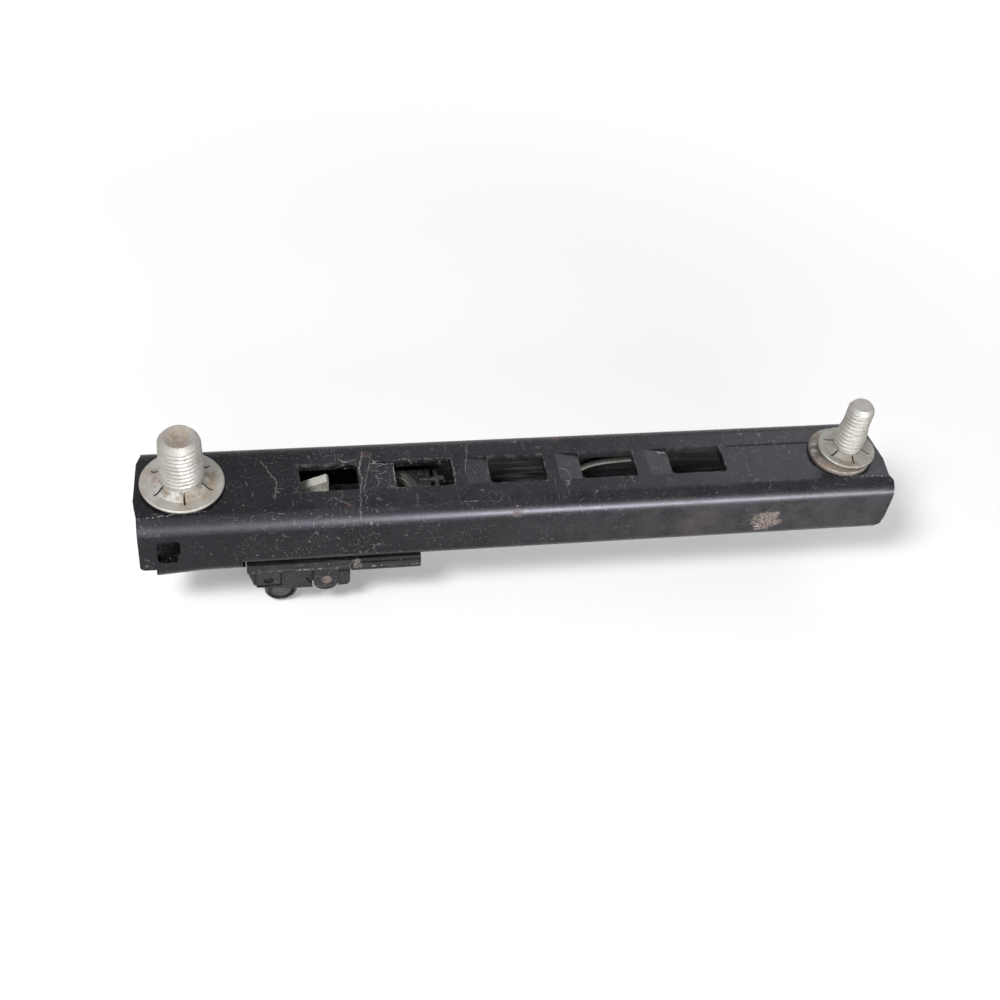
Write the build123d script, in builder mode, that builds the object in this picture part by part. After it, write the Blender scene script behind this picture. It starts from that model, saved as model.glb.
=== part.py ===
from build123d import *
import os
from math import cos, radians, sin, tan

os.makedirs("parts", exist_ok=True)

# Seat belt height adjuster: a slotted steel channel that is bolted to the pillar by two studs, and a
# sliding belt carriage inside it, which a toothed pawl locks into one of five windows.
# Millimetres. The origin is on the axis of the upper stud, at the outer face of the channel's web.
# +X runs down the channel to the lower stud, +Z is the way the studs point.

# Pressed channel
sheet = 2.3
rail_width = 27.0
rail_height = 18.0
bend_radius = 4.5
lip_radius = 3.5
lip_gap = 16.0
stud_spacing = 177.3
rail_start = -12.1
rail_end = stud_spacing + 10.8
mouth_start = -7.0
mouth_end = 14.0
mouth_step = 4.5
mouth_drop = 2.0
mouth_lift = 1.1
bare_wall_rise = 1.2
bare_wall_corner = 1.4
# How far the sheared ends stand back from rail_start and rail_end, from the far wall to the near one,
# and how the lower end's corner stands back at heights above the lips
upper_end_trim = ((13.5, 1.9), (10.5, 1.9), (7.4, 0.8), (-5.2, 0.0), (-10.0, 0.7), (-13.5, 0.7))
lower_end_trim = ((13.5, 2.0), (10.5, 2.0), (7.0, 1.9), (-3.0, 0.4), (-9.0, 0.9), (-10.8, 0.0), (-13.5, 0.0))
lower_corner_trim = ((0.1, 5.8), (0.5, 3.2), (1.9, 1.6), (4.0, -0.1))

# Latch windows in the web
window_count = 5
window_pitch = 24.6
first_window = 29.2
window_length = 14.9
window_width = 9.4
window_corner = 0.9
ramp_length = 6.4
ramp_depth = 0.8
trough_end = 168.0
trough_depth = 0.3

# Square hole in the near wall
side_hole_x = -4.05
side_hole_z = -10.25
side_hole_length = 5.7
side_hole_height = 7.9
side_hole_corner = 1.2

# Upper stud, 7/16 inch, with a cup point
upper_stud_diameter = 11.11
upper_stud_height = 17.0
upper_head_diameter = 18.0
upper_head_height = 4.5
stud_hole_clearance = 0.15
upper_neck_diameter = 10.6
neck_clearance = 0.1
cup_diameter = 7.7
cup_depth = 1.0
dimple_diameter = 2.6
dimple_depth = 0.7
point_rim = 8.1
point_length = 1.6

# Lower stud, M8
lower_stud_diameter = 7.95
lower_stud_height = 18.0
lower_neck_diameter = 7.5
lower_head_diameter = 15.0
lower_head_height = 4.0
lower_point_chamfer = 1.1

# Washers that hold the studs in the channel
washer_fit = 0.05
upper_washer_diameter = 21.0
upper_washer_thickness = 1.3
upper_washer_dish = 1.5
upper_tab_count = 6
upper_tab_reach = 3.0
upper_tab_angle = 34.0
tab_slit = 0.45
washer_undercut = 0.7
backing_washer_diameter = 17.2
backing_washer_thickness = 1.0
backing_washer_shift = -1.6
backing_washer_bore = 11.0
lock_washer_diameter = 15.6
lock_washer_thickness = 1.3
lock_washer_dish = 0.8
lock_tab_count = 6
lock_tab_reach = 2.6
lock_tab_angle = 30.0

# Bowed wire on the far wall
wire_diameter = 1.25
wire_stand_off = 0.05
wire_points = ((104.6, -14.6), (108.6, -12.1), (113.2, -9.9), (120.8, -9.3))
wire_bends = (6.0, 12.0)

# Carriage inside the channel
running_gap = 0.05
carriage_start = 15.5
carriage_tail = 4.05
carriage_width = 19.2
plate_thickness = 2.25
fork_end = 41.0
fork_width = 9.6
fork_tip_radius = 2.5
fork_mouth = 10.0
lug_width = 2.3
lug_start = 15.9
lug_end = 22.1
lug_top = -7.9
end_tab_gap = 0.95
end_tab_thickness = 1.0
end_tab_width = 11.0
end_tab_top = -3.9

# Pivot of the pawl
pivot_x = 19.0
pivot_z = -10.85
pin_diameter = 3.6
pin_fit = 0.05
pin_head_diameter = 4.9
pin_head_length = 0.8
clip_diameter = 4.9
clip_thickness = 0.6
groove_depth = 0.45
pin_end = 0.7

# Pawl, pressed to a U section, drawn to just under the web at rest
pawl_width = 8.6
arm_gap = 3.2
boss_radius = 3.3
tooth_tip_x = 36.3
tooth_tip_z = -3.35
tooth_face_x = 36.9
tooth_root_x = 29.2
tooth_root_z = -6.1
tooth_back_height = 2.6
arm_floor_z = -11.2
arm_floor_rise = 2.3
floor_thickness = 2.0
arm_floor_x = (24.6, 32.8)
belly_step = 0.6
belly_top = -8.6
belly_points = ((33.4, -11.0), (26.0, -13.2), (25.6, -20.0))
tail_half_length = 3.2
tail_inset = 1.4
tail_end_rise = 2.1
back_corner = (-2.4, -1.8)
back_start = 1.0
throat_z = -12.4
throat_end_z = -17.2

# Release bar across the tail
bar_radius = 4.2
bar_x = 23.8
bar_drop = 13.55
bar_ring_outer = 3.5
bar_ring_inner = 2.5
bar_ring_depth = 0.8

# Torsion spring on the pivot
twist_wire = 0.6
twist_clearance = 0.15
twist_turns = 2.5
twist_gap = 0.02
twist_leg = 6.0
twist_foot = 0.8

# Guide block behind the nut, riveted to the rear tab
shoe_behind_nut = 3.6
shoe_length = 6.9
shoe_top = -5.2
shoe_width = 11.9
shoe_nut_gap = 0.1
shoe_rivet_diameter = 1.6
shoe_rivet_hold = 2.9
shoe_rivet_head = 2.4
shoe_rivet_y = 2.5
shoe_rivet_z = -5.5
shoe_rivet_length = 2.0

# Belt anchor nut, 7/16-20 inch, seen from above through the second window
nut_x = 53.0
nut_neck_diameter = 15.4
nut_drop = 8.35
nut_top = -5.2
nut_spigot_diameter = 13.6
nut_thread_diameter = 11.11
nut_countersink = 0.7
nut_mouth_chamfer = 0.4

# Moulded shoe below the lips
shoe_gap = 0.15
shoe_inset = 0.5
ledge_thickness = 2.9
ledge_end = 42.6
ledge_start = 15.0
joint_lean = 0.45
cheek_inset = 0.3
cheek_thickness = 2.2
cheek_points = (
    (15.4, 3.5),
    (17.0, 9.05),
    (19.6, 9.45),
    (27.6, 10.25),
    (31.9, 10.25),
    (31.8, 9.45),
    (29.9, 6.35),
    (32.0, 3.4),
)
cheek_end = 32.2
tail_slot_width = 10.4
tail_slot_start = 16.4
tail_slot_end = 37.0
tongue_width = 15.4
recess_start = 17.3
recess_length = 6.2
recess_drop = 3.95
recess_height = 4.8
recess_rebate = 0.35
recess_rebate_depth = 0.8
insert_recess = 0.35
insert_bore = 2.6
insert_bore_x = 20.45
insert_bore_drop = 6.95
insert_pin_recess = 0.9
lug_centre_x = 35.35
barrel_radius = 3.2
barrel_drop = 11.35
barrel_proud = 0.2
barrel_rivet_x = 35.5
barrel_rivet_drop = 7.25
barrel_rivet_diameter = 3.0
barrel_rivet_dome = 0.35
pad_start = 38.6
pad_end = 41.65
pad_drop = 10.05
pad_corner = 1.3
pad_groove = 0.35
pad_groove_width = 0.7
pad_groove_drop = 1.2
back_wall_start = 28.0
back_wall_inset = 0.8
back_wall_drop = 8.65

# Rear guide, a saddle round the anchor nut's neck
saddle_joint = 0.3
saddle_lean = 0.27
saddle_behind_nut = 7.1
saddle_gap = 0.2
saddle_drop = 3.9
saddle_thickness = 1.2
saddle_shoulder = 0.5
skirt_thickness = 2.1

# Sizes that follow
body_width = rail_width - 2 * shoe_inset
cheek_width = body_width - 2 * cheek_inset
web_inside = -sheet
lip_inside = -(rail_height - sheet)
wall_inside = rail_width / 2 - sheet
plate_bottom = lip_inside + running_gap
plate_top = plate_bottom + plate_thickness
ledge_top = -(rail_height + shoe_gap)
ledge_bottom = ledge_top - ledge_thickness
lug_inner = fork_width / 2 + 0.1
lug_outer = lug_inner + lug_width
cheek_inner = cheek_width / 2 - cheek_thickness
window_starts = [first_window + window_pitch * i for i in range(window_count)]
last_window_end = window_starts[-1] + window_length
upper_neck_end = upper_washer_thickness + upper_washer_dish + neck_clearance
saddle_top = -(rail_height + saddle_gap)
saddle_bottom = saddle_top - saddle_drop
bare_wall_height = rail_height - bare_wall_rise
nut_bottom = ledge_top - nut_drop
recess_top = ledge_top - recess_drop
insert_bore_z = ledge_top - insert_bore_drop
barrel_bottom = ledge_top - barrel_drop
barrel_rivet_z = ledge_top - barrel_rivet_drop
pad_bottom = ledge_top - pad_drop
back_wall_bottom = ledge_top - back_wall_drop
bar_z = ledge_top - bar_drop
bar_length = 2 * cheek_inner
shoe_start = nut_x + shoe_behind_nut
shoe_end = shoe_start + shoe_length
end_tab_start = shoe_end + end_tab_gap
carriage_end = end_tab_start + carriage_tail
saddle_end = nut_x + saddle_behind_nut
lower_neck_end = backing_washer_thickness + lock_washer_thickness + lock_washer_dish + neck_clearance


def channel_profile(height):
    """Section of the pressed channel before its lips are parted."""
    with BuildSketch(Plane.XY) as profile:
        with Locations((0, -height / 2)):
            Rectangle(rail_width, height)
        fillet(profile.vertices().group_by(Axis.Y)[-1], bend_radius)
        fillet(profile.vertices().group_by(Axis.Y)[0], lip_radius)
        offset(amount=-sheet, mode=Mode.SUBTRACT)
    return profile.sketch


with BuildPart() as rail:
    # Straight run, its lips parted for the carriage
    with BuildSketch(Plane.YZ.offset(mouth_end)):
        add(channel_profile(rail_height))
    extrude(amount=rail_end - mouth_end)
    with BuildSketch(Plane.XY.offset(-rail_height)):
        with Locations((mouth_end, 0)):
            Rectangle(rail_end - mouth_end, lip_gap, align=(Align.MIN, Align.CENTER))
    extrude(amount=1.5 * sheet, both=True, mode=Mode.SUBTRACT)
    # Deeper closed mouth at the upper end
    with BuildSketch(Plane.YZ.offset(mouth_end)):
        add(channel_profile(rail_height + mouth_drop))
    extrude(amount=mouth_step - mouth_end)
    with BuildSketch(Plane.YZ.offset(mouth_step)):
        add(channel_profile(rail_height + mouth_drop))
    with BuildSketch(Plane.YZ.offset(mouth_start)):
        add(channel_profile(rail_height + mouth_drop + mouth_lift))
    loft(ruled=True)
    # Bare walls at the upper end
    with BuildSketch(Plane.YZ.offset(rail_start)) as bare_end:
        add(channel_profile(rail_height + mouth_drop))
        with Locations((0, -bare_wall_height)):
            Rectangle(rail_width, rail_height, align=(Align.CENTER, Align.MAX), mode=Mode.SUBTRACT)
    extrude(amount=mouth_start - rail_start)
    # Ends sheared a little out of square
    for end, trim, way in ((rail_start, upper_end_trim, 1), (rail_end, lower_end_trim, -1)):
        with BuildSketch(Plane.XY.offset(1)):
            with BuildLine():
                Polyline(
                    (end - way, rail_width / 2 + 1),
                    (end + way * trim[0][1], rail_width / 2 + 1),
                    *[(end + way * back, y * rail_width / (2 * trim[0][0])) for y, back in trim],
                    (end + way * trim[-1][1], -rail_width / 2 - 1),
                    (end - way, -rail_width / 2 - 1),
                    close=True,
                )
            make_face()
        extrude(amount=-2 * rail_height, mode=Mode.SUBTRACT)
    with BuildSketch(Plane.XZ):
        with BuildLine():
            Polyline(
                (rail_end + 1, lower_corner_trim[0][1] - rail_height),
                *[(rail_end - back, up - rail_height) for back, up in lower_corner_trim],
                (rail_end + 1, lower_corner_trim[-1][1] - rail_height),
                close=True,
            )
        make_face()
    extrude(amount=rail_width, both=True, mode=Mode.SUBTRACT)
    bottom_corners = (
        rail.edges()
        .filter_by(Axis.Y)
        .filter_by_position(Axis.X, rail_start + 0.1, mouth_start - 0.5)
        .filter_by_position(Axis.Z, -bare_wall_height - 0.1, -bare_wall_height + 0.1)
    )
    fillet(bottom_corners, bare_wall_corner)
    # Latch windows
    with BuildSketch(Plane.XY):
        for start in window_starts:
            with Locations((start + window_length / 2, 0)):
                RectangleRounded(window_length, window_width, window_corner)
    extrude(amount=-2 * sheet, mode=Mode.SUBTRACT)
    # Rungs bent down towards the next window: lowered above, and standing out below
    for start in window_starts[1:]:
        for level, kind in ((0, Mode.SUBTRACT), (web_inside, Mode.ADD)):
            with BuildSketch(Plane.XZ):
                with BuildLine():
                    Polyline(
                        (start - ramp_length, level),
                        (start, level),
                        (start, level - ramp_depth),
                        close=True,
                    )
                make_face()
            extrude(amount=window_width / 2, both=True, mode=kind)
    # Shallow trough past the last window
    for level, kind in ((0, Mode.SUBTRACT), (web_inside, Mode.ADD)):
        with BuildSketch(Plane.XY.offset(level)):
            with Locations(((last_window_end + trough_end) / 2 + 1, 0)):
                Rectangle(trough_end - last_window_end - 2, window_width)
        extrude(amount=-trough_depth, mode=kind)
    # Square hole in the near wall
    with BuildSketch(Plane.XZ.offset(rail_width / 2)):
        with Locations((side_hole_x, side_hole_z)):
            RectangleRounded(side_hole_length, side_hole_height, side_hole_corner)
    extrude(amount=-2 * sheet, mode=Mode.SUBTRACT)
    # Stud holes
    with Locations((0, 0, 0)):
        Hole(upper_stud_diameter / 2 + stud_hole_clearance, depth=2 * sheet)
    with Locations((stud_spacing, 0, 0)):
        Hole(lower_stud_diameter / 2 + stud_hole_clearance, depth=2 * sheet)
rail.part.label = "rail"
export_step(rail.part, "parts/rail.step")

with BuildPart() as upper_anchor_stud:
    with BuildSketch(Plane.XZ):
        with BuildLine():
            Polyline(
                (0, web_inside - upper_head_height),
                (upper_head_diameter / 2, web_inside - upper_head_height),
                (upper_head_diameter / 2, web_inside),
                (upper_neck_diameter / 2, web_inside),
                (upper_neck_diameter / 2, upper_neck_end),
                (upper_stud_diameter / 2, upper_neck_end + (upper_stud_diameter - upper_neck_diameter) / 2),
                (upper_stud_diameter / 2, upper_stud_height - point_length),
                (point_rim / 2, upper_stud_height),
                (cup_diameter / 2, upper_stud_height),
                (dimple_diameter / 2, upper_stud_height - cup_depth),
                (dimple_diameter / 6, upper_stud_height - cup_depth - dimple_depth),
                (0, upper_stud_height - cup_depth - dimple_depth),
                close=True,
            )
        make_face()
    revolve(axis=Axis.Z)
    chamfer(upper_anchor_stud.edges().filter_by(GeomType.CIRCLE).sort_by(Axis.Z)[0], 0.8)
upper_anchor_stud.part.label = "upper_anchor_stud"
export_step(upper_anchor_stud.part, "parts/upper_anchor_stud.step")


def push_washer(radius, bore, thickness, dish, tabs, reach, turn):
    """Dished push-on washer whose bore is slit into tabs that grip the thread."""
    with BuildPart() as washer:
        with BuildSketch(Plane.XZ):
            with BuildLine():
                Polyline(
                    (bore, dish),
                    (bore + reach * 0.7, 0),
                    (radius - washer_undercut, 0),
                    (radius, washer_undercut * 0.8),
                    (radius, thickness * 0.75),
                    (radius - thickness * 0.25, thickness),
                    (bore + reach * 0.7, thickness),
                    (bore, thickness + dish),
                    close=True,
                )
            make_face()
        revolve(axis=Axis.Z)
        with BuildSketch(Plane.XY.offset(-dish - thickness)):
            with PolarLocations(bore, tabs, start_angle=turn):
                Rectangle(2 * reach, tab_slit)
        extrude(amount=3 * (thickness + dish), mode=Mode.SUBTRACT)
    return washer.part


with BuildPart() as upper_retaining_washer:
    add(
        push_washer(
            upper_washer_diameter / 2,
            upper_neck_diameter / 2 + washer_fit,
            upper_washer_thickness,
            upper_washer_dish,
            upper_tab_count,
            upper_tab_reach,
            upper_tab_angle,
        )
    )
upper_retaining_washer.part.label = "upper_retaining_washer"
export_step(upper_retaining_washer.part, "parts/upper_retaining_washer.step")

with BuildPart() as lower_anchor_stud:
    with BuildSketch(Plane.XZ):
        with BuildLine():
            Polyline(
                (stud_spacing, web_inside - lower_head_height),
                (stud_spacing + lower_head_diameter / 2, web_inside - lower_head_height),
                (stud_spacing + lower_head_diameter / 2, web_inside),
                (stud_spacing + lower_neck_diameter / 2, web_inside),
                (stud_spacing + lower_neck_diameter / 2, lower_neck_end),
                (
                    stud_spacing + lower_stud_diameter / 2,
                    lower_neck_end + (lower_stud_diameter - lower_neck_diameter) / 2,
                ),
                (stud_spacing + lower_stud_diameter / 2, lower_stud_height - lower_point_chamfer),
                (stud_spacing + lower_stud_diameter / 2 - lower_point_chamfer, lower_stud_height),
                (stud_spacing, lower_stud_height),
                close=True,
            )
        make_face()
    revolve(axis=Axis((stud_spacing, 0, 0), (0, 0, 1)))
    chamfer(lower_anchor_stud.edges().filter_by(GeomType.CIRCLE).sort_by(Axis.Z)[0], 0.7)
lower_anchor_stud.part.label = "lower_anchor_stud"
export_step(lower_anchor_stud.part, "parts/lower_anchor_stud.step")

with BuildPart() as lower_backing_washer:
    with BuildSketch(Plane.XY):
        with Locations((stud_spacing + backing_washer_shift, 0)):
            Circle(backing_washer_diameter / 2)
            Circle(backing_washer_bore / 2, mode=Mode.SUBTRACT)
    extrude(amount=backing_washer_thickness)
    chamfer(lower_backing_washer.edges().group_by(Axis.Z)[-1].sort_by(SortBy.LENGTH)[-1], 0.25)
lower_backing_washer.part.label = "lower_backing_washer"
export_step(lower_backing_washer.part, "parts/lower_backing_washer.step")

with BuildPart() as lower_retaining_washer:
    with Locations((stud_spacing, 0, backing_washer_thickness)):
        add(
            push_washer(
                lock_washer_diameter / 2,
                lower_neck_diameter / 2 + washer_fit,
                lock_washer_thickness,
                lock_washer_dish,
                lock_tab_count,
                lock_tab_reach,
                lock_tab_angle,
            )
        )
lower_retaining_washer.part.label = "lower_retaining_washer"
export_step(lower_retaining_washer.part, "parts/lower_retaining_washer.step")

wire_y = wall_inside - wire_diameter / 2 - wire_stand_off
with BuildPart() as anti_rattle_wire:
    with BuildLine() as wire_route:
        FilletPolyline(*[(x, wire_y, z) for x, z in wire_points], radius=wire_bends)
    with BuildSketch(Plane(origin=wire_route.line @ 0, z_dir=wire_route.line % 0)):
        Circle(wire_diameter / 2)
    sweep()
anti_rattle_wire.part.label = "anti_rattle_wire"
export_step(anti_rattle_wire.part, "parts/anti_rattle_wire.step")

# Carriage plate, forked at the front for the pawl, with its pivot lugs and its rear tab bent up
with BuildPart() as carriage_plate:
    with BuildSketch(Plane.XY.offset(plate_bottom)) as plate_outline:
        with Locations(((carriage_start + carriage_end) / 2, 0)):
            RectangleRounded(carriage_end - carriage_start, carriage_width, fork_tip_radius)
        with Locations(((carriage_start + fork_end - fork_mouth) / 2, 0)):
            RectangleRounded(fork_end - carriage_start + fork_mouth, fork_width, 2.0, mode=Mode.SUBTRACT)
        with Locations((nut_x, 0)):
            Circle(nut_spigot_diameter / 2, mode=Mode.SUBTRACT)
    extrude(amount=plate_thickness)
    with BuildSketch(Plane.XZ) as lug_side:
        with BuildLine():
            Polyline(
                (lug_start, plate_top),
                (lug_end, plate_top),
                (lug_end, lug_top),
                (lug_start, lug_top),
                close=True,
            )
        make_face()
        fillet(lug_side.vertices().group_by(Axis.Y)[-1], 2.6)
    extrude(amount=lug_outer, both=True)
    with BuildSketch(Plane.XZ):
        with Locations((pivot_x, (plate_bottom + lug_top) / 2)):
            Rectangle(20, 2 * (lug_top - plate_bottom))
    extrude(amount=fork_width / 2, both=True, mode=Mode.SUBTRACT)
    with BuildSketch(Plane.XZ):
        with Locations((pivot_x, pivot_z)):
            Circle(pin_diameter / 2 + pin_fit)
    extrude(amount=carriage_width, both=True, mode=Mode.SUBTRACT)
    with BuildSketch(Plane.YZ.offset(end_tab_start)) as rear_tab:
        with Locations((0, plate_top)):
            Rectangle(end_tab_width, end_tab_top - plate_top, align=(Align.CENTER, Align.MIN))
        fillet(rear_tab.vertices().group_by(Axis.Y)[-1], 1.6)
        with Locations((shoe_rivet_y, shoe_rivet_z)):
            Circle(shoe_rivet_diameter / 2 + pin_fit, mode=Mode.SUBTRACT)
    extrude(amount=end_tab_thickness)
carriage_plate.part.label = "carriage_plate"
export_step(carriage_plate.part, "parts/carriage_plate.step")

with BuildPart() as anchor_nut:
    with BuildSketch(Plane.XY.offset(nut_bottom)):
        with Locations((nut_x, 0)):
            Circle(nut_neck_diameter / 2)
    extrude(amount=plate_bottom - nut_bottom)
    with BuildSketch(Plane.XY.offset(plate_bottom)):
        with Locations((nut_x, 0)):
            Circle(nut_spigot_diameter / 2)
    extrude(amount=nut_top - plate_bottom)
    with BuildSketch(Plane.XY.offset(nut_bottom)):
        with Locations((nut_x, 0)):
            Circle(nut_thread_diameter / 2)
    extrude(amount=nut_top - nut_bottom, mode=Mode.SUBTRACT)
    ends = anchor_nut.edges().filter_by(GeomType.CIRCLE).group_by(Axis.Z)
    chamfer(ends[0], nut_countersink)
    chamfer(ends[-1], nut_mouth_chamfer)
anchor_nut.part.label = "anchor_nut"
export_step(anchor_nut.part, "parts/anchor_nut.step")

twist_stop_x = pivot_x + pin_diameter / 2 + twist_clearance + twist_wire + 0.1
# Pawl: two toothed arms joined by a floor, and a tail that hangs through the fork to the release bar
with BuildPart() as pawl:
    with BuildSketch(Plane.XZ) as pawl_side:
        with BuildLine():
            Polyline(
                (pivot_x - back_start, pivot_z + tooth_back_height),
                (tooth_root_x, tooth_root_z),
                (tooth_tip_x, tooth_tip_z),
                (tooth_face_x, tooth_tip_z - belly_step),
                (tooth_face_x, belly_top),
                *belly_points,
                (bar_x + tail_half_length, bar_z + tail_end_rise),
                (bar_x - tail_half_length, bar_z + tail_end_rise),
                (pivot_x + back_corner[0], pivot_z + back_corner[1]),
                close=True,
            )
        make_face()
        with Locations((pivot_x, pivot_z)):
            Circle(boss_radius)
        with Locations((bar_x, bar_z)):
            Circle(bar_radius - tail_inset)
        with Locations((pivot_x, pivot_z)):
            Circle(pin_diameter / 2 + pin_fit, mode=Mode.SUBTRACT)
    extrude(amount=pawl_width / 2, both=True)
    # Space between the arms, closed by the floor and by the tail
    with BuildSketch(Plane.XZ):
        with BuildLine():
            Polyline(
                (pivot_x - 2 * boss_radius, 0),
                (tooth_face_x + 2, 0),
                (tooth_face_x + 2, belly_top + floor_thickness),
                (arm_floor_x[1], arm_floor_z + arm_floor_rise),
                (arm_floor_x[0], arm_floor_z),
                (twist_stop_x, throat_z),
                (twist_stop_x, throat_end_z),
                (pivot_x - 2 * boss_radius, throat_end_z),
                close=True,
            )
        make_face()
    extrude(amount=arm_gap / 2, both=True, mode=Mode.SUBTRACT)
pawl.part.label = "pawl"
export_step(pawl.part, "parts/pawl.step")

with BuildPart() as release_bar:
    with BuildSketch(Plane.XZ):
        with Locations((bar_x, bar_z)):
            Circle(bar_radius)
    extrude(amount=bar_length / 2, both=True)
    chamfer(release_bar.edges().filter_by(GeomType.CIRCLE), 0.4)
    for side in (1, -1):
        with BuildSketch(Plane.XZ.offset(side * bar_length / 2)):
            with Locations((bar_x, bar_z)):
                Circle(bar_ring_outer)
                Circle(bar_ring_inner, mode=Mode.SUBTRACT)
        extrude(amount=-side * bar_ring_depth, mode=Mode.SUBTRACT)
    add(pawl.part, mode=Mode.SUBTRACT)
release_bar.part.label = "release_bar"
export_step(release_bar.part, "parts/release_bar.step")

# Pivot pin with a head at the near end and a spring clip at the far end
pin_reach = lug_outer + clip_thickness + pin_end
with BuildPart() as pawl_pin:
    with BuildSketch(Plane.XZ.offset(-pin_reach)):
        with Locations((pivot_x, pivot_z)):
            Circle(pin_diameter / 2)
    extrude(amount=pin_reach + lug_outer)
    with BuildSketch(Plane.XZ.offset(lug_outer)):
        with Locations((pivot_x, pivot_z)):
            Circle(pin_head_diameter / 2)
    extrude(amount=pin_head_length)
    with BuildSketch(Plane.XZ.offset(-lug_outer)):
        with Locations((pivot_x, pivot_z)):
            Circle(pin_diameter)
            Circle(pin_diameter / 2 - groove_depth, mode=Mode.SUBTRACT)
    extrude(amount=-clip_thickness, mode=Mode.SUBTRACT)
pawl_pin.part.label = "pawl_pin"
export_step(pawl_pin.part, "parts/pawl_pin.step")

with BuildPart() as pin_clip:
    with BuildSketch(Plane.XZ.offset(-lug_outer)):
        with Locations((pivot_x, pivot_z)):
            Circle(clip_diameter / 2)
            Circle(pin_diameter / 2 - groove_depth, mode=Mode.SUBTRACT)
        with Locations((pivot_x, pivot_z)):
            Rectangle(1.9, clip_diameter, align=(Align.CENTER, Align.MIN), mode=Mode.SUBTRACT)
    extrude(amount=-clip_thickness)
pin_clip.part.label = "pin_clip"
export_step(pin_clip.part, "parts/pin_clip.step")

# Torsion spring between the arms: one leg bears on the tail, the other on the moulded shoe's front bar
twist_radius = pin_diameter / 2 + twist_clearance + twist_wire / 2
twist_pitch = twist_wire + twist_gap
twist_length = twist_turns * twist_pitch
with BuildLine() as twist_route:
    turns = Helix(
        pitch=twist_pitch,
        height=twist_length,
        radius=twist_radius,
        center=(pivot_x, -twist_length / 2, pivot_z),
        direction=(0, 1, 0),
    )
    Line(turns @ 0 - (turns % 0) * (pivot_z - ledge_top + twist_foot), turns @ 0)
    Line(turns @ 1, turns @ 1 + (turns % 1) * twist_leg)
twist_wire_path = twist_route.line.rotate(Axis((pivot_x, 0, pivot_z), (0, 1, 0)), -90)
with BuildPart() as pawl_spring:
    with BuildLine():
        add(twist_wire_path)
    with BuildSketch(Plane(origin=twist_wire_path @ 0, z_dir=twist_wire_path % 0)):
        RegularPolygon(twist_wire / 2, 6)
    sweep(is_frenet=True)
pawl_spring.part.label = "pawl_spring"
export_step(pawl_spring.part, "parts/pawl_spring.step")

# Guide block, hollowed round the nut
with BuildPart() as web_shoe:
    with BuildSketch(Plane.XZ):
        with BuildLine():
            Polyline(
                (shoe_start, plate_top),
                (shoe_start, shoe_top),
                (shoe_end, shoe_top),
                (shoe_end, plate_top),
                close=True,
            )
        make_face()
    extrude(amount=shoe_width / 2, both=True)
    with BuildSketch(Plane.XY.offset(plate_top)):
        with Locations((nut_x, 0)):
            Circle(nut_spigot_diameter / 2 + shoe_nut_gap)
    extrude(amount=rail_height, mode=Mode.SUBTRACT)
    with BuildSketch(Plane.YZ.offset(shoe_end)):
        with Locations((shoe_rivet_y, shoe_rivet_z)):
            Circle(shoe_rivet_diameter / 2 + pin_fit)
    extrude(amount=-shoe_rivet_hold - 0.1, mode=Mode.SUBTRACT)
web_shoe.part.label = "web_shoe"
export_step(web_shoe.part, "parts/web_shoe.step")

with BuildPart() as shoe_rivet:
    with BuildSketch(Plane.YZ.offset(shoe_end - shoe_rivet_hold)):
        with Locations((shoe_rivet_y, shoe_rivet_z)):
            Circle(shoe_rivet_diameter / 2)
    extrude(amount=shoe_rivet_hold + (end_tab_start - shoe_end) + end_tab_thickness)
    with BuildSketch(Plane.YZ.offset(end_tab_start + end_tab_thickness)):
        with Locations((shoe_rivet_y, shoe_rivet_z)):
            Circle(shoe_rivet_head / 2)
    extrude(amount=shoe_rivet_length)
    chamfer(shoe_rivet.edges().group_by(Axis.X)[-1], shoe_rivet_head / 5)
shoe_rivet.part.label = "shoe_rivet"
export_step(shoe_rivet.part, "parts/shoe_rivet.step")

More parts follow.
